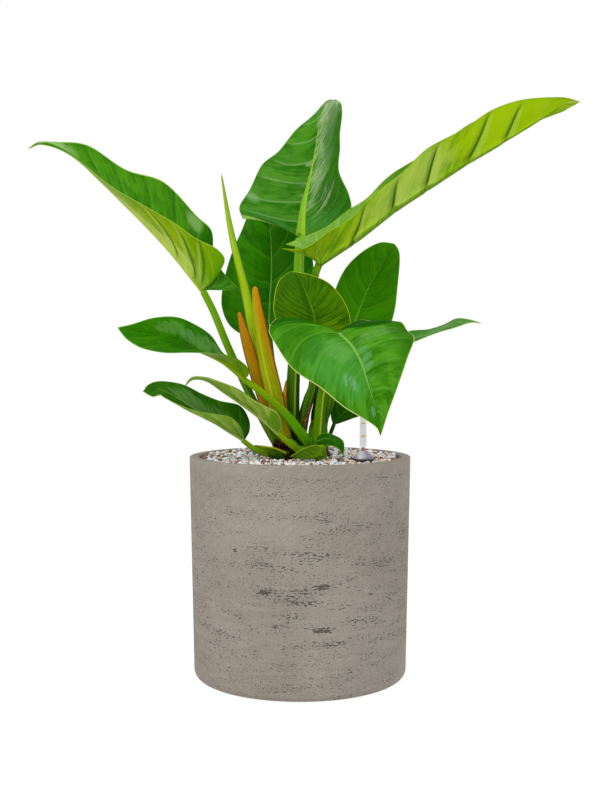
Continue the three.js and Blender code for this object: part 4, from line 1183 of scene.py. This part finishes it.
def rooted(route):
    """A route whose last point is moved on, so that the stalk ends inside its blade."""
    before, last = np.array(route[-2:], float)
    return [*route[:-1], tuple(last + unit(last - before) * STALK_ROOT)]


for leaf_name, leaf in LEAVES.items():
    skin = stalk_finish(f"{leaf_name}_stalk_skin", **STALK_LOOKS[leaf_name])
    route = rooted(leaf["stalk"])
    stalk = sweep(f"{leaf_name}_petiole", route, leaf["radius"], leaf["depth"], skin, channelled)
    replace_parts(stalk, f"{leaf_name}_stalk")
print("stalks made:", len(LEAVES))

# %% [markdown]
# ## Sheaths, the new leaf and the trunk
#
# A new leaf comes out of a sheath, a long boat-shaped scale that turns orange and then dries. Two
# stand in front here, and behind them the newest leaf is still rolled into a spike. The trunk is
# short and dark with the fibres of old sheaths.

# %% Sheath section and skin
KEEL_ANGLES = (0.15, math.pi - 0.15)
KEEL_HEIGHT, KEEL_SPREAD = 0.09, 0.22
SHEATH_SHEEN = (1, 0.9, 0.4, 1)
PALE_FLANK = (196, 150, 0)


def keeled(angle, along):
    """A section with a keel on each side, as a boat-shaped sheath has."""
    keels = sum(bump(np.angle(np.exp(1j * (angle - at))), 0, KEEL_SPREAD) for at in KEEL_ANGLES)
    return 0.95 + KEEL_HEIGHT * keels + 0 * along


def sheath_finish(name, foot, middle, tip, keel, stripe, pale=0.0, keel_from=0.8):
    """Skin of a sheath, from foot to tip. A sheath with a pale flank has its keel on the right only."""
    finish = Finish(name, roughness=0.45, specular=0.12, sheen=SHEATH_SHEEN)
    side, along, front = finish.split(finish.attribute("spot"))
    across = 0 - side
    stripes = finish.noise(finish.join(side * 6, along * 2.0, front * 6), 1.5, 4.0, 0.65)
    blotch = finish.noise(finish.place(), 60.0, 3.0, 0.6)
    height = along + (blotch - 0.5) * 0.25 + (stripes - 0.5) * 0.25
    colour = finish.mix(finish.ramp(height, 0.05, 0.45), foot, middle)
    colour = finish.mix(finish.ramp(height + across * 0.3, 0.55, 0.95), colour, tip)
    colour = finish.mix(finish.ramp(stripes + (blotch - 0.5) * 0.3, 0.45, 0.75) * 0.5, colour, stripe)
    if pale:
        flank = finish.ramp(side, -0.1, 0.8) * finish.ramp(along, 0.4, 0.1)
        colour = finish.mix(flank * 0.7, colour, PALE_FLANK)
        line = finish.ramp(abs(across + 0.35), 0.22, 0.04) * finish.ramp(along, 0.85, 0.6)
        colour = finish.mix(line * pale, colour, stripe)
    edge = (across if pale else abs(across)) + (blotch - 0.5) * 0.15
    colour = finish.mix(finish.ramp(edge, keel_from, keel_from + 0.17) * 0.9, colour, keel)
    finish.set("Base Color", colour)
    return finish.relief(stripes * 0.7 + blotch * 0.3, 0.0006).material


print("sheath skin ready")

# %% Sheaths and the new leaf
SHEATH_LOOKS = {
    "sheath_1": dict(
        foot=(178, 156, 8), middle=(136, 148, 0), tip=(190, 124, 0), keel=(84, 34, 0), stripe=(196, 190, 40),
        pale=0.6,
    ),
    "sheath_2": dict(
        foot=(118, 114, 0), middle=(156, 116, 0), tip=(178, 112, 8), keel=(92, 34, 0), stripe=(196, 140, 30),
    ),
    "new_leaf": dict(
        foot=(140, 176, 4), middle=(156, 190, 0), tip=(120, 160, 16), keel=(70, 124, 0),
        stripe=(206, 216, 90), keel_from=0.74,
    ),
}
SCALE_GREENS = [(10, 46, 0), (24, 72, 0), (90, 112, 0)]
skins = {name: sheath_finish(f"{name}_skin", **look) for name, look in SHEATH_LOOKS.items()}
skins["basal_scale"] = stalk_finish("scale_skin", SCALE_GREENS, ridge=(190, 180, 10), ridge_at=0.88)
for shoot_name, skin in skins.items():
    piece = sweep(f"{shoot_name}_skin", finish=skin, section=keeled, ends=1.2, **SHOOTS[shoot_name])
    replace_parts(piece, shoot_name)
print("shoots made:", len(SHOOTS))

# %% Trunk
TRUNK_RIBS, RIB_HEIGHT = 9, 0.04


def ribbed(angle, along):
    """A round section with low ribs, where the scars of old stalks run up the trunk."""
    return 1 + RIB_HEIGHT * np.sin(TRUNK_RIBS * angle)


bark = Finish("trunk_bark", roughness=0.85)
side, along, front = bark.split(bark.attribute("spot"))
strips = bark.noise(bark.join(side * 9, along * 3, front * 9), 2.0, 4.0, 0.7)
bark.set("Base Color", bark.mix(bark.ramp(strips, 0.4, 0.8), (16, 8, 5), (72, 40, 22)))
bark.relief(strips, 0.002)
for stem_name, stem in STEMS.items():
    piece = sweep(f"{stem_name}_bark", stem["route"], stem["radii"], 1, bark.material, ribbed)
    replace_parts(piece, stem_name)
print("stems made:", len(STEMS))

# %% [markdown]
# ## Old fibres and stubs
#
# Where old leaves were, dry brown fibres cling to the trunk, and short stubs of stalks are left
# between the living ones. Brown rags of old sheaths hang beside the tallest stalk and over the
# trunk, and a thin dry membrane stands beside the orange sheaths. The fibres are one mesh of thin
# tubes, drawn at random round the trunk.


# %% Strands
def strands(name, routes, radii, finish, steps=9, sides=5):
    """Thin tubes along routes that mostly run up or down, joined in one mesh."""
    turn = np.linspace(0, 2 * math.pi, sides, endpoint=False)
    ring = np.stack([np.cos(turn), np.sin(turn), 0 * turn], -1)
    along = np.linspace(0, 1, steps)
    points, faces = [], []
    for route, radius in zip(routes, radii):
        taper = radius * (1 - 0.6 * along)
        points.append((curve(route)(along)[:, None] + ring * taper[:, None, None]).reshape(-1, 3))
        first = (len(points) - 1) * steps * sides
        last = first + (steps - 1) * sides
        faces += grid_faces(steps, sides, first, closed=True)
        faces.append(tuple(range(first, first + sides))[::-1])
        faces.append(tuple(range(last, last + sides)))
    return make_piece(name, np.concatenate(points), faces, [finish])


print("strands ready")

# %% Fibres and rags
TRUNK_AT = np.array([-22, -12, 0])
TRUNK_FOOT = 272
FIBRE_COUNT = 90
RAGS = [
    (1.3, [(14.4, -22, 346.4), (11.3, -22, 337.6), (7.5, -22, 330.1), (1.3, -22, 325.1), (-3.1, -22, 328.2)]),
    (1.0, [(11.3, -22, 337.6), (9.5, -22, 340.8), (10.5, -22, 345.2)]),
    (1.5, [(7.5, -22, 330.1), (6.3, -22, 322.6), (4.4, -22, 313.8)]),
    (0.9, [(2.5, -22, 325.1), (0.0, -22, 321.3), (-3.8, -22, 325.1)]),
    (2.0, [(9.4, -14, 332.2), (6.9, -14, 322.1), (5.0, -14, 312.0)]),
    (2.2, [(-30.1, -20, 312.4), (-26.3, -20, 303.6), (-21.3, -20, 294.8)]),
]
draw = np.random.default_rng(11)
fibres = []
turns = np.linspace(0, 2 * math.pi, FIBRE_COUNT, endpoint=False) + draw.normal(0, 0.1, FIBRE_COUNT)
for turn in turns:
    way = np.array([math.cos(turn), math.sin(turn) * 0.8, 0])
    lean = draw.normal(0, 2.0, 3)
    low, high = draw.uniform(11, 17), draw.uniform(6, 12)
    top = draw.uniform(288, 303)
    foot = TRUNK_AT + way * low + (0, 0, TRUNK_FOOT)
    bend = TRUNK_AT + way * (low + high) / 2 + (0, 0, (TRUNK_FOOT + top) / 2) + lean
    fibres.append([foot, bend, TRUNK_AT + way * high + (0, 0, top) + lean])
FIBRE_KINDS = {
    "old_fibres": (fibres, [draw.uniform(0.7, 1.6) for fibre in fibres], (20, 10, 5), (120, 66, 26)),
    "dry_rags": ([rag for wide, rag in RAGS], [wide for wide, rag in RAGS], (96, 52, 24), (200, 136, 44)),
}
for fibre_name, (routes, widths, deep, light) in FIBRE_KINDS.items():
    shred = Finish(f"{fibre_name}_skin", roughness=0.9, specular=0.1)
    tone = shred.noise(shred.place(), 180.0, 2.0, 0.5)
    shred.set("Base Color", shred.mix(shred.ramp(tone, 0.5, 0.8), deep, light))
    strands(fibre_name, routes, widths, shred.material)
print("fibres", len(fibres), "rags", len(RAGS))

# %% Stubs
STUBS = {
    "stub_back": dict(
        route=[(16.2, -8, 326.8), (14.5, -8, 315.4), (13.3, -8, 302.7)],
        radii=(1.2, 3.2, 3.4), depth=0.6, greens=((94, 88, 14), (74, 96, 4), (96, 140, 20)),
    ),
    "stub_front": dict(
        route=[(-13.8, -34, 302.8), (-7.5, -33, 296.5), (0.5, -30, 288.6)],
        radii=(2.6, 4.2, 4.4), depth=0.7, greens=((96, 146, 2), (70, 126, 0), (50, 104, 0)),
    ),
    "stub_middle": dict(
        route=[(-10.2, 2, 317.2), (-3.8, 2, 299.4), (0.0, 2, 282.7)],
        radii=(5.0, 6.0, 6.0), depth=0.7, greens=((20, 50, 0), (26, 66, 0), (34, 76, 0)),
    ),
    "stub_right_1": dict(
        route=[(39, -12, 364), (36.4, -12, 353), (34, -12, 337), (32.4, -12, 321)],
        radii=(3.6, 3.2, 2.6, 1.8), depth=0.8, greens=((96, 146, 6), (76, 122, 0), (60, 104, 0)),
    ),
    "stub_right_2": dict(
        route=[(44.8, -8, 361), (41.7, -8, 350), (38.5, -8, 337), (35.4, -8, 327)],
        radii=(2.2, 2.0, 1.6, 1.0), depth=0.8, greens=((96, 146, 6), (84, 130, 4), (60, 104, 0)),
    ),
    # Its greens are nearly black: painted shade, for the stub stands in shade behind the front leaf.
    "stub_shaded": dict(
        route=[(24.4, 20, 375), (22, 20, 358), (20, 20, 344), (17, 20, 332), (16, 20, 318)],
        radii=(3.4, 3.4, 3.2, 2.8, 2.4), depth=0.8, greens=((10, 44, 0), (12, 52, 0), (16, 60, 0)),
    ),
    "membrane": dict(
        route=[(-17.1, -6, 376.1), (-19.5, -6, 360.9), (-18.5, -6, 348.2), (-16.4, -6, 335.5)],
        radii=(0.9, 1.9, 1.7, 0.8), depth=0.25, greens=((150, 92, 0), (232, 158, 10), (206, 140, 20)),
    ),
}
for stub_name, stub in STUBS.items():
    skin = stalk_finish(f"{stub_name}_skin", stub["greens"])
    sweep(stub_name, stub["route"], stub["radii"], stub["depth"], skin, channelled, steps=24, sides=14)
print("stubs", len(STUBS))

# %% [markdown]
# ## The planter
#
# The pot is fibre clay: grey-taupe, matt and slightly uneven, with dark pores in level rows where
# the clay was pressed, and faint slanting trowel marks. It is turned on a lathe of many sides, so
# its outline is round, and the pores are painted and sunk by noise that is stretched sideways. A
# few listed hollows gather the pores where the real pot has its larger pits.

# %% Planter profile
POT_HEIGHT, POT_RIM_RADIUS, POT_FOOT_RADIUS = 280, 140, 135
POT_WALL, POT_FLOOR, POT_FOOT_ROUND, POT_RIM_ROUND = 12.5, 16, 10, 2
AXIS = 0.01


def arc(centre, radius, first, last, count):
    """Profile points on part of a circle, with angles in degrees."""
    turns = [math.radians(first + (last - first) * i / count) for i in range(count + 1)]
    return [(centre[0] + radius * math.cos(t), centre[1] + radius * math.sin(t)) for t in turns]


inner_rim, inner_floor = POT_RIM_RADIUS - POT_WALL, POT_FOOT_RADIUS - POT_WALL
pot_profile = [
    (AXIS, 0),
    *arc((POT_FOOT_RADIUS - POT_FOOT_ROUND, POT_FOOT_ROUND), POT_FOOT_ROUND, -90, 0, 8),
    *arc((POT_RIM_RADIUS - POT_RIM_ROUND, POT_HEIGHT - POT_RIM_ROUND), POT_RIM_ROUND, 0, 90, 5),
    *arc((inner_rim + POT_RIM_ROUND, POT_HEIGHT - POT_RIM_ROUND), POT_RIM_ROUND, 90, 180, 5),
    (inner_floor, POT_FLOOR),
    (AXIS, POT_FLOOR),
]
print("profile of", len(pot_profile), "points")

# %% Clay patterns
clay = Finish("fibre_clay", roughness=0.9, specular=0.15)
x, y, z = clay.split(clay.place())
turn = clay.math("ARCTAN2", y, x) * (POT_RIM_RADIUS * MM)
grain = clay.noise(clay.place(), 520.0, 3.0, 0.6)
cloud = clay.noise(clay.place(), 9.0, 4.0, 0.6)
slanting = clay.noise(clay.join(turn, z * 3.0 - turn * 2.0, 0.5), 46.0, 4.0, 0.6)
waves = clay.noise(clay.join(turn * 0.6, z * 3.4, 4.0), 46.0, 3.0, 0.6)
streaks = clay.mix(clay.ramp(z, 0.12, 0.19), waves, slanting)
pores = clay.noise(clay.join(turn, z * 3.2, 0.0), 190.0, 2.0, 0.5)
groups = clay.noise(clay.join(turn, z * 5.0, 3.0), 14.0, 3.0, 0.6)
specks = clay.noise(clay.join(turn, z * 1.5, 1.0), 560.0, 1.0, 0.5)
dots = clay.ramp(specks + (groups - 0.5) * 0.3, 0.655, 0.715)
print("clay patterns ready")

# %% Pits
HOLLOWS = [
    (25, 138, 14, 5, 0.2), (-42, 131, 11, 4, 0.19), (6, 126, 34, 14, 0.1), (29, 86, 20, 6, 0.2),
    (40, 72, 30, 8, 0.13), (-30, 91, 8, 3, 0.16), (68, 76, 12, 3, 0.14), (-10, 170, 50, 14, 0.07),
    (-82, 178, 6, 4, 0.16), (92, 124, 8, 4, 0.18),
]
crowd = pores + (groups - 0.5) * 0.5 - clay.ramp(abs(z - 0.12), 0.04, 0.12) * 0.03
for across, height, half_wide, half_high, depth in HOLLOWS:
    off = ((turn + (math.pi / 2 * POT_RIM_RADIUS - across) * MM) / (half_wide * MM)) ** 2
    off = off + ((z - height * MM) / (half_high * MM)) ** 2
    crowd = crowd + clay.ramp(off, 1.0, 0.0) * depth
pit = clay.math("MAXIMUM", clay.ramp(crowd, 0.645, 0.705), dots) * clay.ramp(z, 0.272, 0.262)
print("hollows", len(HOLLOWS))

# %% Planter
colour = clay.mix(clay.ramp(cloud, 0.3, 0.7), (131, 123, 113), (142, 134, 124))
colour = clay.mix(clay.ramp(streaks, 0.45, 0.75) * 0.5, colour, (154, 146, 136))
colour = clay.mix(clay.ramp(grain, 0.5, 0.75) * 0.3, colour, (104, 97, 89))
colour = clay.mix(pit * 0.85, colour, (70, 64, 57))
clay.set("Base Color", colour)
clay.relief(grain * 0.25 + streaks * 0.3 - pit, 0.0008)
pot = lathe("planter_clay", pot_profile, 192, clay.material)
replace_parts(pot, "planter")

# %% [markdown]
# ## The granules
#
# The roots sit in mineral granules. On the surface lie three kinds of stone, from 4 to 8 mm: pale
# bluish white, cream and dark red-brown. A solid bed carries them, and its dark brown in the gaps
# between the stones is painted shade. Each kind is one mesh of stones with chipped sides, set by a
# seeded draw so that every run gives the same bed, and each stone's tone is random and darker
# towards its underside, where that is painted shade. They are strewn in two layers, along a spiral
# that spreads them evenly, and none lies under the gauge.

# %% Strewn places
GRANULE_LEVEL = 273
BED_RADIUS = inner_rim - 0.8
GAUGE_AT, DOME_RADIUS = (78, -44), 13.5
LAYERS, LAYER_STONES, LAYER_HEIGHT = 2, 1000, 3.4
BACK_RISE = 2.0
GOLDEN_ANGLE = math.pi * (3 - math.sqrt(5))
# Each kind has its share, its deep colour and its light colour; the deep one is also the painted shade under a
# stone.
STONES = {
    "white": (0.38, (104, 108, 112), (226, 234, 238)),
    "cream": (0.37, (96, 76, 66), (222, 202, 186)),
    "rust": (0.25, (34, 20, 18), (134, 98, 90)),
}
rng = np.random.default_rng(5)
k = np.arange(LAYER_STONES)
r = (BED_RADIUS - 2.2) * np.sqrt((k + 0.5) / LAYER_STONES)
spots = []
for layer in range(LAYERS):
    turn = k * GOLDEN_ANGLE + layer * 1.1
    x, y = r * np.cos(turn), r * np.sin(turn)
    z = GRANULE_LEVEL + layer * LAYER_HEIGHT + BACK_RISE * np.clip(y / BED_RADIUS, -0.5, 1)
    spots.append(np.stack([x, y, z], -1))
spots = np.concatenate(spots) + rng.normal(0, 0.7, (LAYERS * LAYER_STONES, 3))
sizes = rng.uniform(2.4, 4.2, len(spots))
kinds = rng.choice(list(STONES), len(spots), p=[share for share, *_ in STONES.values()])
from_gauge = np.hypot(spots[:, 0] - GAUGE_AT[0], spots[:, 1] - GAUGE_AT[1])
from_axis = np.hypot(spots[:, 0], spots[:, 1])
kept = (from_gauge > DOME_RADIUS + 1 + sizes * 0.5) & (from_axis < BED_RADIUS - sizes)
print("stones kept:", kept.sum(), "of", len(spots))

# %% A chipped stone
CUTS = 7
ball = bmesh.new()
bmesh.ops.create_icosphere(ball, subdivisions=2, radius=1.0)
ball_points = np.array([v.co[:] for v in ball.verts])
ball_faces = np.array([[v.index for v in face.verts] for face in ball.faces])
ball.free()


def chipped(size):
    """Points of one stone: a ball that is squeezed, cut by random planes and turned."""
    squeeze = rng.uniform(0.75, 1.15, 3) * size
    planes = unit(rng.normal(size=(CUTS, 3)))
    cut = rng.uniform(0.65, 0.9, CUTS) / np.maximum(ball_points @ planes.T, 0.01)
    points = ball_points * np.minimum(1.05, cut.min(1))[:, None] * squeeze
    spin = np.linalg.qr(rng.normal(size=(3, 3)))[0]
    spin[:, 0] *= np.sign(np.linalg.det(spin))
    return points @ spin.T


print("points of a stone:", len(ball_points))

# %% Stones and their bed
for kind, (_, deep, light) in STONES.items():
    stone = Finish(f"stone_{kind}", roughness=0.9, specular=0.3)
    rough = stone.noise(stone.place(), 500.0, 3.0, 0.6)
    stone.set("Base Color", stone.mix(stone.number("tint") * (rough * 0.6 + 0.7), deep, light))
    stone.relief(rough, 0.0008)
    points, faces, tone_and_shade = [], [], []
    for i in np.flatnonzero((kinds == kind) & kept):
        shape = chipped(sizes[i])
        faces.append(ball_faces + len(points) * len(ball_points))
        points.append(shape + spots[i])
        # Each stone's tone is random, and lighter towards its top, so that its underside carries painted shade.
        tone_and_shade.append(np.clip(rng.uniform(0.25, 0.9) + 0.6 * shape[:, 2] / sizes[i], 0, 1))
    made = make_piece(
        f"stones_{kind}", np.concatenate(points), np.concatenate(faces).tolist(), [stone.material],
        notes={"tint": np.concatenate(tone_and_shade)}, smooth=False,
    )
    print(made.name, len(points))
# The bed shows only in the gaps between the stones, and its dark brown there is painted shade.
bed_shade = Finish("granule_bed", roughness=0.95)
bed_shade.set("Base Color", bed_shade.mix(bed_shade.noise(bed_shade.place(), 260.0), (40, 30, 26), (92, 74, 64)))
bed_foot = POT_FLOOR + 0.4
bed_top = [(BED_RADIUS, GRANULE_LEVEL), (AXIS, GRANULE_LEVEL)]
bed_profile = [(AXIS, bed_foot), (inner_floor - 1.3, bed_foot), *bed_top]
bed = lathe("granule_bed", bed_profile, 96, bed_shade.material)
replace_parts(bed, "granules")

# %% [markdown]
# ## The water gauge
#
# A clear tube stands in a clear dome, with two ticks on it and a red indicator inside. The float
# that carries the indicator slides in the casing, so it rides on its own body. The tube is nearly
# clear at its foot, where the red tip shows through, and more opaque and so brighter above, with a
# soft glow all over that is painted light. The dome has a painted gleam on its left and a dark skirt
# where it meets the stones.

# %% Gauge plastics
# The tube glows softly all over: painted light, for it is no lamp.
glowing_clear_plastic = Finish("glowing_clear_plastic", roughness=0.3, specular=0.2)
above = glowing_clear_plastic.ramp(glowing_clear_plastic.split(glowing_clear_plastic.place())[2], 0.293, 0.297)
glowing_clear_plastic.set("Base Color", (76, 76, 84)).set("Alpha", above * 0.34 + 0.06)
glowing_clear_plastic.set("Emission Color", (255, 255, 255)).set("Emission Strength", 0.5)
dome_plastic = Finish("dome_plastic", roughness=0.25, specular=0.4)
x, y, z = dome_plastic.split(dome_plastic.place())
gleam = dome_plastic.ramp(abs(x - 0.0745), 0.009, 0.0)
skirt = dome_plastic.ramp(z, 0.2814, 0.2798)
shell = dome_plastic.mix(gleam, (150, 142, 160), (230, 227, 237))
dome_plastic.set("Base Color", dome_plastic.mix(skirt, shell, (66, 54, 66))).set("Alpha", skirt * 0.3 + 0.65)
dark_plastic = Finish("casing_plastic", roughness=0.5).set("Base Color", (70, 62, 66))
red_plastic = Finish("float_plastic", roughness=0.4).set("Base Color", (170, 18, 0))
tick_paint = Finish("tick_paint", roughness=0.5).set("Base Color", (206, 170, 30))
print("gauge plastics ready")

# %% Tube, dome, casing and float
CLEAR = 0.3
TUBE_BORE, TUBE_RADIUS, TUBE_TOP = 3.5, 4.5, 371
CASING_INNER, CASING_RADIUS, CASING_FLOOR = 9.5, 11, 2
STEM_RADIUS, TIP_RADIUS = 1.4, 2.2
gauge_foot, casing_top = POT_FLOOR + 2 * CLEAR, GRANULE_LEVEL + 1
dome_foot = casing_top + CLEAR
tube = [
    (TUBE_BORE, dome_foot), (TUBE_RADIUS, dome_foot), (TUBE_RADIUS, TUBE_TOP - 1.5),
    *arc((TUBE_BORE, TUBE_TOP - 1), 1, 0, 90, 4),
    (AXIS, TUBE_TOP), (AXIS, TUBE_TOP - 2), (TUBE_BORE, TUBE_TOP - 2), (TUBE_BORE, dome_foot),
]
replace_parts(lathe("gauge_tube_clear", tube, 32, glowing_clear_plastic.material, GAUGE_AT), "gauge_tube")
dome = [
    (4.8, dome_foot), (DOME_RADIUS, dome_foot), (DOME_RADIUS, 279.9), (13.1, 281.2), (12.2, 282.6),
    (10.6, 284.4), (8.6, 286.2), (7.0, 287.5), (6.2, 288.4), (5.6, 290), (4.8, 290), (4.8, dome_foot),
]
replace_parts(lathe("gauge_dome_clear", dome, 48, dome_plastic.material, GAUGE_AT), "gauge_dome")
floor_top = gauge_foot + CASING_FLOOR
casing = [
    (4, gauge_foot), (CASING_RADIUS, gauge_foot), (CASING_RADIUS, casing_top), (CASING_INNER, casing_top),
    (CASING_INNER, floor_top), (4, floor_top), (4, gauge_foot),
]
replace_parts(lathe("gauge_casing_dark", casing, 32, dark_plastic.material, GAUGE_AT), "gauge_casing")
bottom = floor_top + CLEAR
float_profile = [
    (AXIS, bottom), (7.5, bottom), (7.5, bottom + 34), (STEM_RADIUS, bottom + 38), (STEM_RADIUS, 288),
    (TIP_RADIUS, 289), (TIP_RADIUS, 293), (STEM_RADIUS, 294), (AXIS, 294),
]
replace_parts(lathe("gauge_float_red", float_profile, 24, red_plastic.material, GAUGE_AT, FLOAT), "gauge_float")
print("gauge from", gauge_foot, "to", TUBE_TOP, "mm")

# %% Ticks
INNER, OUTER, HALF = 4.55, 4.95, 0.9
outline = [(INNER, -HALF), (OUTER, -HALF), (OUTER, HALF), (INNER, HALF)]
turns = np.linspace(-0.5, 0.5, 9) - math.pi / 2
last = 4 * (len(turns) - 1)
faces = grid_faces(len(turns), 4, closed=True) + [(3, 2, 1, 0), (last, last + 1, last + 2, last + 3)]
for level in (308, 324):
    points = [
        (GAUGE_AT[0] + r * math.cos(t), GAUGE_AT[1] + r * math.sin(t), level + rise)
        for t in turns for r, rise in outline
    ]
    make_piece(f"gauge_tick_{level}", points, faces, [tick_paint.material], smooth=False)
print("ticks made")

# %% [markdown]
# ## The end
#
